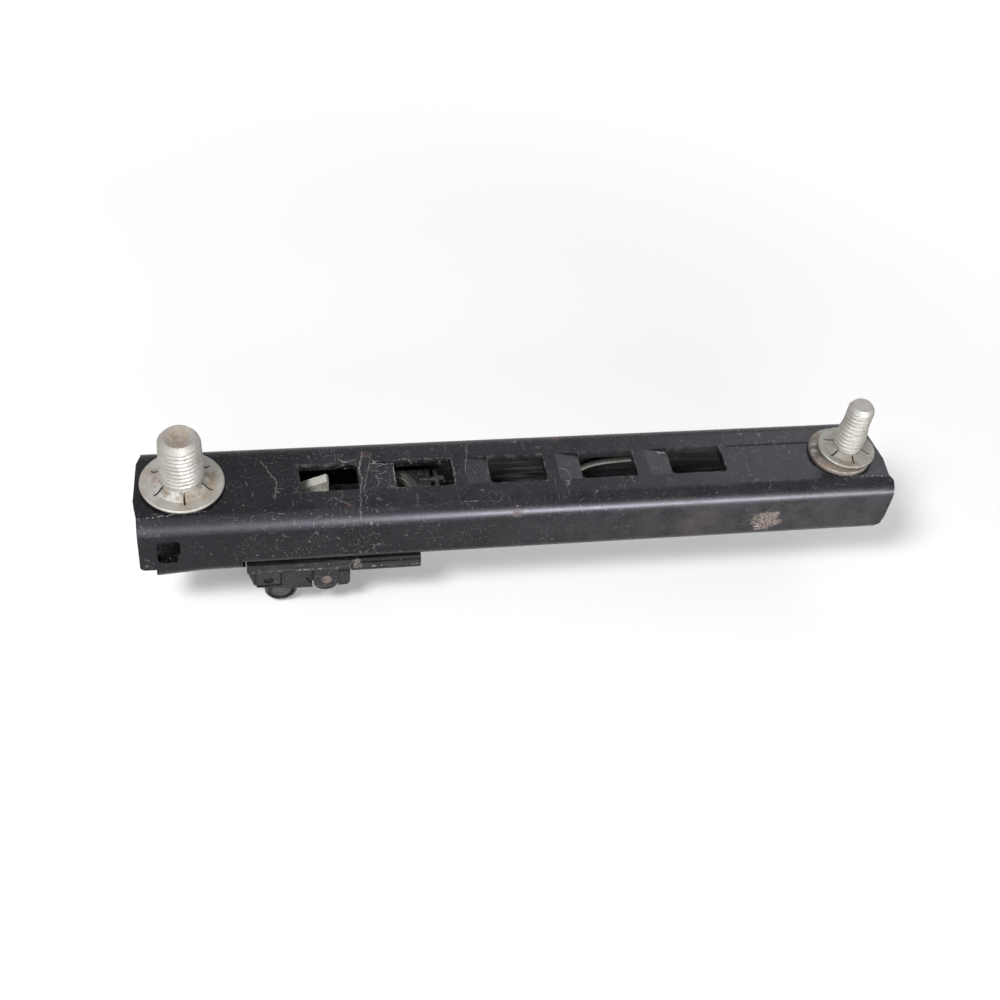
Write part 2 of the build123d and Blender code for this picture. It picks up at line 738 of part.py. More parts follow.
# Moulded shoe under the lips, hung from the carriage plate by tongues that run between the lips
with BuildPart() as outer_shoe:
    with BuildSketch(Plane.XZ):
        with BuildLine():
            Polyline(
                (ledge_start, ledge_top),
                (ledge_end, ledge_top),
                (ledge_end - ledge_thickness * joint_lean, ledge_bottom),
                (ledge_start, ledge_bottom),
                close=True,
            )
        make_face()
    extrude(amount=body_width / 2, both=True)
    with BuildSketch(Plane.XY.offset(ledge_top)) as tongues:
        with Locations(((carriage_start + fork_end) / 2 + 0.5, 0)):
            Rectangle(fork_end - carriage_start - 1, tongue_width)
    extrude(amount=plate_bottom - ledge_top)
    # Cheeks
    with BuildSketch(Plane.XZ):
        with BuildLine():
            Polyline(
                (ledge_start, ledge_bottom),
                *[(x, ledge_top - drop) for x, drop in cheek_points],
                (cheek_end, ledge_bottom),
                close=True,
            )
        make_face()
    extrude(amount=cheek_width / 2, both=True)
    # Walls set back behind the cheeks and the lugs
    with BuildSketch(Plane.XZ):
        with BuildLine():
            Polyline(
                (back_wall_start, ledge_bottom),
                (back_wall_start, back_wall_bottom),
                (pad_end - back_wall_inset, back_wall_bottom),
                (pad_end - back_wall_inset, ledge_bottom),
                close=True,
            )
        make_face()
    extrude(amount=cheek_width / 2 - back_wall_inset, both=True)
    # Barrel-ended lugs behind the cheeks
    with BuildSketch(Plane.XZ):
        with BuildLine():
            Polyline(
                (lug_centre_x - barrel_radius, ledge_bottom),
                (lug_centre_x - barrel_radius, barrel_bottom + barrel_radius),
                (lug_centre_x + barrel_radius, barrel_bottom + barrel_radius),
                (lug_centre_x + barrel_radius, ledge_bottom),
                close=True,
            )
        make_face()
        with Locations((lug_centre_x, barrel_bottom + barrel_radius)):
            Circle(barrel_radius)
    extrude(amount=cheek_width / 2 + barrel_proud, both=True)
    # Open middle between the cheeks, and the slot for the tail
    with BuildSketch(Plane.YZ):
        with Locations((0, ledge_bottom)):
            Rectangle(2 * cheek_inner, 2 * rail_height, align=(Align.CENTER, Align.MAX))
    extrude(amount=2 * ledge_end, mode=Mode.SUBTRACT)
    with BuildSketch(Plane.XY.offset(plate_bottom)):
        with Locations(((tail_slot_start + tail_slot_end) / 2, 0)):
            Rectangle(tail_slot_end - tail_slot_start, tail_slot_width)
        with Locations((nut_x, 0)):
            Circle(nut_neck_diameter / 2 + shoe_gap)
    extrude(amount=-rail_height, mode=Mode.SUBTRACT)
    with BuildSketch(Plane.XY.offset(plate_bottom)):
        with Locations((ledge_start - 1, 0)):
            Rectangle(tail_slot_start - ledge_start + 1, tail_slot_width, align=(Align.MIN, Align.CENTER))
    extrude(amount=ledge_top - plate_bottom, mode=Mode.SUBTRACT)
    # Windows for the square inserts
    with BuildSketch(Plane.XZ):
        with Locations((recess_start + recess_length / 2, recess_top - recess_height / 2)):
            Rectangle(recess_length, recess_height)
    extrude(amount=body_width, both=True, mode=Mode.SUBTRACT)
    for side in (1, -1):
        with BuildSketch(Plane.XZ.offset(side * cheek_width / 2)):
            with Locations((recess_start + recess_length / 2, recess_top - recess_height / 2)):
                Rectangle(recess_length + 2 * recess_rebate, recess_height + 2 * recess_rebate)
        extrude(amount=-side * recess_rebate_depth, mode=Mode.SUBTRACT)
    # Rivet holes through the lugs
    with BuildSketch(Plane.XZ):
        with Locations((barrel_rivet_x, barrel_rivet_z)):
            Circle(barrel_rivet_diameter / 2)
    extrude(amount=body_width, both=True, mode=Mode.SUBTRACT)
outer_shoe.part.label = "outer_shoe"
export_step(outer_shoe.part, "parts/outer_shoe.step")

for side, name in ((1, "near"), (-1, "far")):
    with BuildPart() as cheek_insert:
        with BuildSketch(Plane.XZ.offset(side * (cheek_width / 2 - insert_recess))):
            with Locations((recess_start + recess_length / 2, recess_top - recess_height / 2)):
                Rectangle(recess_length, recess_height)
            with Locations((insert_bore_x, insert_bore_z)):
                Circle(insert_bore / 2, mode=Mode.SUBTRACT)
        extrude(amount=-side * (cheek_thickness - insert_recess))
    cheek_insert.part.label = name + "_cheek_insert"
    export_step(cheek_insert.part, "parts/" + name + "_cheek_insert.step")

    with BuildPart() as insert_pin:
        with BuildSketch(Plane.XZ.offset(side * (cheek_width / 2 - insert_recess - insert_pin_recess))):
            with Locations((insert_bore_x, insert_bore_z)):
                Circle(insert_bore / 2)
        extrude(amount=-side * (cheek_thickness - insert_recess - insert_pin_recess))
    insert_pin.part.label = name + "_insert_pin"
    export_step(insert_pin.part, "parts/" + name + "_insert_pin.step")

    with BuildPart() as lug_rivet:
        with BuildSketch(Plane.XZ.offset(side * cheek_inner)):
            with Locations((barrel_rivet_x, barrel_rivet_z)):
                Circle(barrel_rivet_diameter / 2)
        extrude(amount=side * (cheek_thickness + barrel_proud + barrel_rivet_dome))
        outer_rim = lug_rivet.edges().filter_by(GeomType.CIRCLE).sort_by(Axis.Y)[0 if side > 0 else -1]
        chamfer(outer_rim, barrel_rivet_dome * 0.9)
    lug_rivet.part.label = name + "_lug_rivet"
    export_step(lug_rivet.part, "parts/" + name + "_lug_rivet.step")

    with BuildPart() as end_pad:
        with BuildSketch(Plane.XZ.offset(side * cheek_width / 2)) as pad_side:
            with BuildLine():
                Polyline(
                    (pad_start, ledge_bottom),
                    (pad_start, pad_bottom),
                    (pad_end, pad_bottom),
                    (pad_end, ledge_bottom),
                    close=True,
                )
            make_face()
            fillet(pad_side.vertices().group_by(Axis.Y)[0].sort_by(Axis.X)[-1], pad_corner)
        extrude(amount=-side * back_wall_inset)
        with BuildSketch(Plane.XZ.offset(side * cheek_width / 2)):
            with Locations(((pad_start + pad_end) / 2, ledge_bottom - pad_groove_drop)):
                Rectangle(2 * (pad_end - pad_start), pad_groove_width)
        extrude(amount=-side * pad_groove, mode=Mode.SUBTRACT)
    end_pad.part.label = name + "_end_pad"
    export_step(end_pad.part, "parts/" + name + "_end_pad.step")

# Rear saddle round the anchor nut, with side skirts along the lips and a leaning joint to the shoe
saddle_start = ledge_end + saddle_joint
with BuildPart() as rear_saddle:
    with BuildSketch(Plane.YZ.offset(saddle_end)):
        with Locations((0, saddle_top)):
            Rectangle(body_width - 2 * saddle_shoulder, saddle_thickness, align=(Align.CENTER, Align.MAX))
        for side in (1, -1):
            with Locations((side * (body_width - skirt_thickness) / 2, saddle_bottom)):
                Rectangle(
                    skirt_thickness,
                    saddle_top - saddle_thickness - saddle_bottom,
                    align=(Align.CENTER, Align.MIN),
                )
    extrude(amount=saddle_start - saddle_end - (saddle_top - saddle_bottom) * saddle_lean)
    with BuildSketch(Plane.XZ):
        with BuildLine():
            Polyline(
                (saddle_start, saddle_top),
                (saddle_start - (saddle_top - saddle_bottom) * saddle_lean, saddle_bottom),
                (ledge_start, saddle_bottom),
                (ledge_start, saddle_top),
                close=True,
            )
        make_face()
    extrude(amount=body_width, both=True, mode=Mode.SUBTRACT)
    fillet(rear_saddle.edges().filter_by(Axis.Y).group_by(Axis.X)[-1], 0.5)
    with BuildSketch(Plane.XY.offset(ledge_top)):
        with Locations((nut_x, 0)):
            Circle(nut_neck_diameter / 2)
    extrude(amount=-rail_height, mode=Mode.SUBTRACT)
rear_saddle.part.label = "rear_saddle"
export_step(rear_saddle.part, "parts/rear_saddle.step")
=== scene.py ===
import bpy
import bmesh
from functools import reduce
from math import pi, cos, sin, atan2, hypot, radians
from mathutils import Matrix, Vector


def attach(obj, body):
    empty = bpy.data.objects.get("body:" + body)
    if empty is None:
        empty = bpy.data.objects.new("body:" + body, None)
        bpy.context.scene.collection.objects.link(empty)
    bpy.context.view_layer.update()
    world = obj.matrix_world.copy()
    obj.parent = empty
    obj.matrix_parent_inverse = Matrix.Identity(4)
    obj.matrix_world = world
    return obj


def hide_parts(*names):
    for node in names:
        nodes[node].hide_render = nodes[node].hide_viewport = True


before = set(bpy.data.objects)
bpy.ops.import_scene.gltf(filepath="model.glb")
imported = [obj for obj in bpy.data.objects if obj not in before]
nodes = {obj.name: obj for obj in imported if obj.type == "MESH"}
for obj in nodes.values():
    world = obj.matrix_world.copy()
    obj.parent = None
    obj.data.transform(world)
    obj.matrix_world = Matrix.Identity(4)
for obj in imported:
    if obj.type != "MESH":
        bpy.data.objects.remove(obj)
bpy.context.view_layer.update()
mm = 0.001
weld = 1e-6  # points closer than this, in metres, are one


print("frame loaded:", len(nodes), "nodes")


class Socket:
    # one output socket, so that shader maths reads as plain arithmetic
    def __init__(self, tree, socket):
        self.tree = tree
        self.socket = socket

    def maths(self, operation, *values):
        return self.tree.add("ShaderNodeMath", {"operation": operation}, dict(enumerate(values)))

    def __add__(self, other): return self.maths("ADD", self, other)
    def __sub__(self, other): return self.maths("SUBTRACT", self, other)
    def __rsub__(self, other): return self.maths("SUBTRACT", other, self)
    def __mul__(self, other): return self.maths("MULTIPLY", self, other)
    def __truediv__(self, other): return self.maths("DIVIDE", self, other)
    def __rtruediv__(self, other): return self.maths("DIVIDE", other, self)
    def __pow__(self, other): return self.maths("POWER", self, other)
    def __abs__(self): return self.maths("ABSOLUTE", self)
    __radd__ = __add__
    __rmul__ = __mul__

    def low(self, other): return self.maths("MINIMUM", self, other)
    def high(self, other): return self.maths("MAXIMUM", self, other)
    def unit(self): return self.high(0.0).low(1.0)
    def sine(self): return self.maths("SINE", self)
    def root(self): return self.maths("SQRT", self)
    def fraction(self): return self.maths("FRACT", self)

    def ramp(self, start, end):
        # 0 at start, 1 at end, smooth between
        return self.tree.add("ShaderNodeMapRange", {"interpolation_type": "SMOOTHSTEP"},
                             {0: self, 1: start, 2: end, 3: 0.0, 4: 1.0})

    def between(self, rise, fall):
        # 1 inside a span with soft ends
        return self.ramp(*rise) * self.ramp(*fall)


def highest(masks):
    return reduce(Socket.high, masks)


class Tree:
    # a node tree, with one way to make a node in it
    def __init__(self, tree):
        self.nodes = tree.nodes
        self.links = tree.links

    def add(self, kind, settings, inputs, output=0):
        # gives that output's socket, or the node itself when the output is None
        node = self.nodes.new(kind)
        for key, value in settings.items():
            setattr(node, key, value)
        for key, value in inputs.items():
            if isinstance(value, Socket):
                self.links.new(value.socket, node.inputs[key])
            else:
                node.inputs[key].default_value = value
        return node if output is None else Socket(self, node.outputs[output])

    def split(self, kind, inputs, outputs):
        # several sockets of one node
        node = self.add(kind, {}, inputs, None)
        return [Socket(self, node.outputs[output]) for output in outputs]


class Finish(Tree):
    # one material: a Principled shader and the nodes that feed it
    def __init__(self, name, fixed):
        self.material = bpy.data.materials.new(name)
        self.material.use_nodes = True
        super().__init__(self.material.node_tree)
        self.shader = self.nodes["Principled BSDF"]
        for socket, value in fixed.items():
            self.shader.inputs[socket].default_value = value
        place = self.add("ShaderNodeTexCoord", {}, {}, "Object")
        self.inMm = self.add("ShaderNodeVectorMath", {"operation": "SCALE"}, {0: place, "Scale": 1 / mm})
        self.x, self.y, self.z = self.split("ShaderNodeSeparateXYZ", {0: self.inMm}, ("X", "Y", "Z"))
        normal = self.add("ShaderNodeNewGeometry", {}, {}, "Normal")
        self.facingY, self.facingZ = self.split("ShaderNodeSeparateXYZ", {0: normal}, ("Y", "Z"))

    def feed(self, socket, value):
        self.links.new(value.socket, self.shader.inputs[socket])

    def cover(self, colour, roughness, height, strength, depth, metallic=None):
        # feeds the shader, with the bump's depth in mm, and gives the material
        self.feed("Base Color", colour)
        self.feed("Roughness", roughness.unit())
        if metallic:
            self.feed("Metallic", metallic.unit())
        bump = {"Height": height, "Strength": strength, "Distance": depth * mm}
        self.feed("Normal", self.add("ShaderNodeBump", {}, bump, "Normal"))
        return self.material

    def mix(self, amount, under, over):
        def colour(value):
            return (*value, 1.0) if isinstance(value, tuple) else value
        return self.add("ShaderNodeMix", {"data_type": "RGBA"},
                        {"Factor": amount, 6: colour(under), 7: colour(over)}, 2)

    def layers(self, under, *coats):
        # lays coats over each other, each given as how much and which colour
        for amount, over in coats:
            under = self.mix(amount, under, over)
        return under

    def stretched(self, scale, turn=(0.0, 0.0, 0.0), shift=(0.0, 0.0, 0.0)):
        return self.add("ShaderNodeMapping", {},
                        {"Vector": self.inMm, "Scale": scale, "Rotation": turn, "Location": shift})

    def moved(self, x, y, z):
        return self.stretched((1.0, 1.0, 1.0), shift=(x, y, z))

    def noise(self, size, detail=3.0, rough=0.55, where=None, twist=0.0):
        return self.add("ShaderNodeTexNoise", {},
                        {"Vector": where or self.inMm, "Scale": 1.0 / size, "Detail": detail,
                         "Roughness": rough, "Distortion": twist}, "Fac")

    def near(self, at, radius, soft):
        # 1 inside a ball round a point in mm, fading out at its radius
        x, y, z = at
        away = ((self.x - x) ** 2.0 + (self.y - y) ** 2.0 + (self.z - z) ** 2.0).root()
        return away.ramp(radius, radius * (1.0 - soft))

    def specks(self, size, share, radius):
        # small dots: only a share of the cells holds one
        away, tint = self.split("ShaderNodeTexVoronoi", {"Vector": self.inMm, "Scale": 1.0 / size},
                                ("Distance", "Color"))
        chosen = self.add("ShaderNodeSeparateColor", {}, {0: tint}).ramp(1.0 - share, 1.0 - share * 0.7)
        return away.ramp(radius, radius * 0.55) * chosen

    def stroke(self, start, end, width, x, y):
        # 1 along a line on the web between two points in mm; x and y are its wavering coordinates
        dx, dy = end[0] - start[0], end[1] - start[1]
        length = dx * dx + dy * dy
        share = (((x - start[0]) * dx + (y - start[1]) * dy) / length).unit()
        away = ((x - start[0] - share * dx) ** 2.0 + (y - start[1] - share * dy) ** 2.0).root()
        return away.ramp(width, width * 0.4)

    def scratches(self, scale, degrees, share, shift=(0.0, 0.0, 0.0)):
        # thin broken lines along one direction
        where = self.stretched(scale, tuple(radians(d) for d in degrees), shift)
        return self.noise(1.0, 2.0, 0.4, where).ramp(share, share + 0.035)


coat = {
    "shine": 0.225, "shineTint": (0.87, 0.87, 1.0, 1.0),
    "black": (0.0024, 0.0024, 0.0034), "film": (0.0070, 0.0068, 0.0082), "worn": (0.0075, 0.0073, 0.0090),
    "webFilm": (0.0145, 0.0145, 0.0172), "bendSheenTint": (0.022, 0.022, 0.027),
    "rungFilm": (0.050, 0.047, 0.047), "rightWallSheen": (0.040, 0.037, 0.040),
    "insideLitTint": (0.030, 0.030, 0.034), "insideGlint": (0.19, 0.19, 0.20),
    "bare": (0.155, 0.150, 0.148), "hair": (0.27, 0.26, 0.265), "dust": (0.26, 0.225, 0.205),
    "rust": (0.115, 0.058, 0.034), "crust": (0.075, 0.050, 0.040), "webRust": (0.11, 0.062, 0.05),
    "pinkRust": (0.185, 0.130, 0.110), "paleRust": (0.46, 0.38, 0.33), "stainBrown": (0.066, 0.052, 0.046),
    # places in mm
    "spotAt": (153.2, -13.5, -10.6), "stainAt": (134.0, -13.5, -9.6), "bendRustAt": (84.0, -13.0, -2.4),
    "webRustAt": ((41.4, -9.5, 1.3), (46.6, 7.3, 1.9), (98.0, 10.8, 3.0), (127.6, 0.8, 1.8),
                  (84.0, -12.6, 1.7)),  # x, y and radius
    "windowStart": 29.2, "windowPitch": 24.6, "windowLength": 14.9, "windowHalfWidth": 4.7,
    "shoulder": 9.6,
    # straight scratches: stretch, turn in degrees, how rare, shift
    "scratches": (
        ((1.9, 0.10, 0.5), (0, 0, 24), 0.70, (3.0, 7.0, 1.0)),
        ((1.7, 0.12, 0.35), (0, 18, -17), 0.70, (11.0, 2.0, 5.0)),
        ((0.05, 2.6, 2.6), (0, 0, 2), 0.70),
    ),
    # curled hairs: size in mm, twist, width, shift
    "hairs": ((6.0, 1.2, 0.0085, 0.0), (9.0, 1.6, 0.0075, 31.0), (4.2, 0.9, 0.0105, 67.0)),
    # worn lines on the web in mm: from, to, half width, how broken, strength
    "strokes": (
        ((-11.3, -10.6), (5.3, -9.5), 0.22, 0.50, 0.9),
        ((171.5, -8.5), (186.2, -9.3), 0.20, 0.50, 0.9),
        ((19.9, 6.4), (23.5, -0.8), 0.13, 0.40, 0.7),
        ((23.5, -0.8), (22.6, -6.9), 0.13, 0.40, 0.6),
        ((46.1, 8.5), (44.7, 2.6), 0.17, 0.42, 0.9),
        ((44.7, 2.6), (44.9, -1.5), 0.15, 0.42, 0.8),
        ((44.9, -1.5), (44.0, -6.1), 0.16, 0.42, 0.8),
        ((48.3, 8.3), (47.0, 2.4), 0.14, 0.44, 0.7),
        ((47.0, 2.4), (44.9, -5.6), 0.14, 0.44, 0.7),
        ((47.8, 3.9), (53.4, 4.4), 0.22, 0.42, 0.8),
        ((53.7, 3.9), (53.4, -2.1), 0.20, 0.40, 1.0),
        ((50.1, -4.5), (53.5, -4.4), 0.14, 0.44, 0.7),
        ((54.6, 5.0), (68.6, 4.9), 0.18, 0.50, 0.7),
        ((69.0, 4.0), (69.1, -3.7), 0.13, 0.48, 0.6),
        ((36.8, -6.5), (41.1, -9.9), 0.14, 0.42, 0.8),
        ((44.1, -7.0), (43.6, -12.8), 0.14, 0.44, 0.8),
        ((39.8, 6.3), (40.7, 5.1), 0.13, 0.40, 0.8),
        ((40.7, 5.1), (44.0, 5.4), 0.14, 0.42, 0.8),
        ((73.9, 9.8), (72.0, -1.0), 0.11, 0.44, 0.7),
        ((70.3, -10.5), (73.8, -10.4), 0.13, 0.42, 0.8),
        ((125.0, 3.9), (127.0, 3.6), 0.42, 0.36, 1.0),
        ((13.0, 8.5), (29.5, 7.2), 0.10, 0.52, 0.5),
        ((30.0, -7.6), (52.0, -6.4), 0.12, 0.54, 0.6),
    ),
}

# soft borders on the channel in mm: where a mask is 0 and where it is 1
zones = {
    # along x
    "row": ((27.6, 28.4), (146.5, 145.5)), "handled": ((16.0, 24.0), (64.0, 50.0)),
    "fourthRamp": ((97.4, 99.5), (104.5, 102.0)), "upperRungs": (72.0, 60.0), "upperDirt": (110.0, 50.0),
    "upperDull": (100.0, 15.0), "pastCarriage": (22.0, 40.0), "towardsLower": (40.0, 175.0),
    "upperEnd": (6.5, 4.0), "lowerEnd": (169.0, 172.0), "ripple": (184.5, 187.0),
    "lightInside": (58.0, 76.0), "shadeInside": (104.0, 97.0),
    # along y, mostly from the middle outwards
    "rungWidth": (5.8, 4.8), "rampWidth": (5.6, 3.0), "rowWidth": (9.5, 6.5), "insideWidth": (11.5, 11.2),
    "farScuff": ((8.4, 10.6), (13.2, 12.2)),
    # along z
    "web": (-1.2, -0.6), "webSkin": (-2.25, -2.15), "belowWeb": (-2.3, -2.6), "lipEdge": (-17.0, -17.8),
    "bendSheen": ((-4.6, -3.7), (-1.2, -2.4)), "bendDull": (-5.0, -3.9),
}


def windowWear(s, onWeb):
    # the windows' rims, the rungs between them and the web around their row
    pitch, half = coat["windowPitch"], coat["windowLength"] / 2
    along = ((s.x - coat["windowStart"]) / pitch).fraction() * pitch
    outX = (abs(along - half) - half).low(abs(along - half - pitch) - half)
    outline = abs(outX.high(abs(s.y) - coat["windowHalfWidth"]))
    inRow = s.x.between(*zones["row"])
    rim = outline.ramp(0.42, 0.06) * inRow * onWeb * s.noise(2.6, 4.0, 0.65).ramp(0.47, 0.66)
    rung = outX.ramp(-0.4, 0.4) * abs(s.y).ramp(*zones["rungWidth"]) * inRow * onWeb
    around = abs(s.y).ramp(*zones["rowWidth"]) * inRow * onWeb
    return rim, rung, around


def straightScratches(s, softRung):
    slanted, crossed, straight = (s.scratches(*family) for family in coat["scratches"])
    deeper = 0.55 + 0.2 * softRung
    return (slanted * deeper + crossed * deeper + straight * 0.4) * s.noise(7.0, 2.0).ramp(0.45, 0.62)


def curledHairs(s, softRung, handled):
    def family(size, twist, width, shift):
        curl = s.noise(size, 0.0, where=s.moved(shift, shift * 0.7, 3.0), twist=twist)
        broken = s.noise(0.28 * size, 3.0, where=s.moved(shift * 1.3, 5.0, 1.0))
        return abs(curl - 0.5).ramp(width, width * 0.35) * broken.ramp(0.52, 0.60)
    hairs = highest(family(*settings) for settings in coat["hairs"])
    crowd = 0.42 + 0.20 * handled + 0.50 * softRung
    return (hairs * crowd * s.noise(9.0, 2.0).ramp(0.36, 0.56)).unit()


def wornLines(s):
    waveX = s.x + (s.noise(1.8, 2.0) - 0.5) * 1.5
    waveY = s.y + (s.noise(1.8, 2.0, where=s.moved(40.0, 9.0, 2.0)) - 0.5) * 1.5
    frayed = s.noise(0.8, 3.0, 0.6)
    lines = highest(
        s.stroke(start, end, width, waveX, waveY) * frayed.ramp(broken - 0.06, broken + 0.10) * strength
        for start, end, width, broken, strength in coat["strokes"])
    return lines * s.z.ramp(*zones["webSkin"])


def paleSpecks(s, handled):
    # dirt, thicker in patches and towards the upper end
    crowd = s.noise(8.0, 3.0).ramp(0.42, 0.66) * 0.8 + 0.2
    crowd = crowd * (0.75 + 0.25 * s.x.ramp(*zones["upperDirt"]))
    specks = (s.specks(0.95, 0.24, 0.22) * 0.9 + s.specks(0.58, 0.16, 0.27) * 0.6) * crowd
    patches = s.noise(5.5, 3.0, 0.6, twist=0.5).ramp(0.42, 0.60)
    flecks = s.noise(0.50, 3.0, 0.7).ramp(0.61, 0.68) * patches
    larger = s.specks(1.4, 0.14, 0.15) * handled * 0.8
    return (specks + flecks * 0.55 + s.specks(2.1, 0.09, 0.13) + larger).unit()


def crustySpot(s, blotch, crust):
    # the blistered spot on the near wall, and the pale worm-like lines in it
    ragged = (s.noise(2.4, 3.0, 0.6) - 0.5) * 1.5
    spot = (s.near(coat["spotAt"], 5.6, 0.95) + ragged).unit() * s.near(coat["spotAt"], 6.6, 0.4)
    mask = (spot * 1.1 + (crust - 0.5) * 2.6).ramp(0.35, 0.95) * spot.ramp(0.03, 0.30)
    lines = abs(s.noise(1.3, 1.5, 0.6, twist=2.2) - 0.5).ramp(0.060, 0.018)
    worms = lines * (spot * 1.5 + (blotch - 0.5) * 1.2).ramp(0.30, 0.60) * spot.ramp(0.03, 0.2)
    return mask, worms


def makeBlackCoat():
    s = Finish("blackCoatedSteel", {
        "Specular IOR Level": coat["shine"], "Specular Tint": coat["shineTint"], "IOR": 1.5})
    patch = s.noise(14.0, 2.0)
    blotch = s.noise(4.5, 4.0, 0.6)
    grain = s.noise(0.55, 3.0, 0.6)
    crust = s.noise(1.3, 4.0, 0.7, twist=1.6)
    smudge = 0.45 + 0.75 * s.noise(6.5, 4.0, 0.6, twist=0.7).ramp(0.34, 0.66)

    # worn places, and the near bend's painted highlight
    onWeb = s.z.ramp(*zones["web"])
    wall = abs(s.facingY).ramp(0.5, 0.9)
    handled = s.x.between(*zones["handled"])  # over the carriage
    rim, rung, around = windowWear(s, onWeb)
    softRung = rung * s.x.ramp(*zones["upperRungs"])
    worn = wornLines(s)
    scratch = (straightScratches(s, softRung) + worn).unit()
    hairs = curledHairs(s, softRung, handled)
    fourthRamp = s.x.between(*zones["fourthRamp"]) * abs(s.y).ramp(*zones["rampWidth"])
    rungWear = rung * s.noise(1.6, 4.0, 0.65, twist=0.8).ramp(0.50, 0.70)
    rungWear = rungWear * (0.06 + 0.85 * handled.high(fourthRamp)).unit()
    # painted highlight: a band on the near bend, where the lamps' reflection lies, is coloured lighter
    bendSheen = s.z.between(*zones["bendSheen"]) * s.facingY.ramp(-0.2, -0.5)
    ends = s.x.ramp(*zones["upperEnd"]) + s.x.ramp(*zones["lowerEnd"])
    shoulder = abs(abs(s.y) - coat["shoulder"]).ramp(0.32, 0.08) * onWeb * ends
    shoulder = shoulder * s.noise(1.1, 3.0).ramp(0.52, 0.64)
    scuff = s.noise(0.9, 4.0, 0.7, where=s.stretched((0.8, 1.6, 1.0))).ramp(0.56, 0.66)
    farScuff = s.y.between(*zones["farScuff"]) * onWeb * scuff * s.noise(7.0, 2.0).ramp(0.40, 0.55)
    lipEdge = s.z.ramp(*zones["lipEdge"]) * s.noise(1.6, 3.0).ramp(0.54, 0.70)

    # films, dirt and rust, and painted light inside the channel
    inside = s.z.ramp(*zones["belowWeb"]) * abs(s.y).ramp(*zones["insideWidth"])
    # painted glints: lighter streaks along the lips' inside stand in for reflections seen through the
    # windows
    insideGlints = s.noise(1.0, 2.0, 0.5, where=s.stretched((0.05, 0.9, 0.9))).ramp(0.50, 0.66)
    lit = inside * s.x.ramp(*zones["lightInside"]) * (0.40 + 0.60 * s.x.ramp(*zones["shadeInside"]))
    specks = paleSpecks(s, handled)
    spot, worms = crustySpot(s, blotch, crust)
    stain = s.near(coat["stainAt"], 9.0, 0.95) * blotch.ramp(0.34, 0.58)
    bendRust = s.near(coat["bendRustAt"], 2.4, 0.8) * blotch.ramp(0.30, 0.55)
    dotted = s.noise(0.9, 4.0, 0.65).ramp(0.42, 0.58)
    webRust = highest(s.near((x, y, 0.0), radius, 0.85) * dotted for x, y, radius in coat["webRustAt"])

    colour = s.layers(
        coat["black"],
        (patch.ramp(0.35, 0.75), coat["film"]),
        ((onWeb * s.x.ramp(*zones["pastCarriage"]) * smudge).unit(), coat["webFilm"]),
        (wall * blotch.ramp(0.45, 0.75) * 0.6, coat["worn"]),
        # the near bend painted a lighter bluish grey: a painted highlight
        ((bendSheen * s.noise(2.2, 3.0).ramp(0.40, 0.66) * 0.5).unit(), coat["bendSheenTint"]),
        ((rungWear * 0.8 + around * blotch.ramp(0.54, 0.74) * 0.25).unit(), coat["rungFilm"]),
        ((rim * 0.6 + shoulder * 0.4 + lipEdge * 0.25 + farScuff * 0.55).unit(), coat["bare"]),
        (scratch * 0.8, coat["bare"]),
        (worn * 0.65, coat["hair"]),
        (hairs, coat["hair"]),
        # the near wall painted lighter towards the lower end: a painted sheen, broken up by smudges
        ((wall * s.x.ramp(*zones["towardsLower"]) * smudge).unit(), coat["rightWallSheen"]),
        # the channel's inside painted lighter from x 58 on, and less so past x 97: painted light, with
        # painted glint streaks
        (lit * 0.9, coat["insideLitTint"]),
        (lit * insideGlints * 0.75, coat["insideGlint"]),
        (stain * 0.65, coat["stainBrown"]),
        (bendRust * 0.5, coat["rust"]),
        (spot * 0.55, coat["crust"]),
        ((spot * crust.ramp(0.48, 0.64) * 0.75).unit(), coat["pinkRust"]),
        (worms * 0.85, coat["paleRust"]),
        (webRust * 0.7, coat["webRust"]),
        (specks * 0.75, coat["dust"]),
    )

    nearBend = s.z.ramp(*zones["bendDull"]) * s.facingY.ramp(-0.15, -0.40)
    roughness = (
        0.21 + 0.11 * blotch + 0.04 * grain + 0.3 * (spot + stain * 0.5).unit() + 0.15 * specks
        + 0.2 * bendRust + 0.25 * inside + (0.05 + 0.20 * s.x.ramp(*zones["upperDull"])) * nearBend)
    ripple = (s.z * 2.4 + s.noise(1.8, 2.0) * 3.0).sine() * s.x.ramp(*zones["ripple"]) * 0.5
    height = (grain * 0.20 + s.noise(3.2, 2.0) * 0.5 - scratch * 0.25 + specks * 0.5
              + spot * crust * 1.6 + ripple)
    return s.cover(colour, roughness, height, strength=0.24, depth=0.18)


zinc = {
    "clean": (0.395, 0.385, 0.362), "shade": (0.30, 0.275, 0.235), "white": (0.520, 0.512, 0.488),
    "rust": (0.275, 0.170, 0.095), "deepRust": (0.105, 0.052, 0.026), "dirt": (0.060, 0.050, 0.042),
}
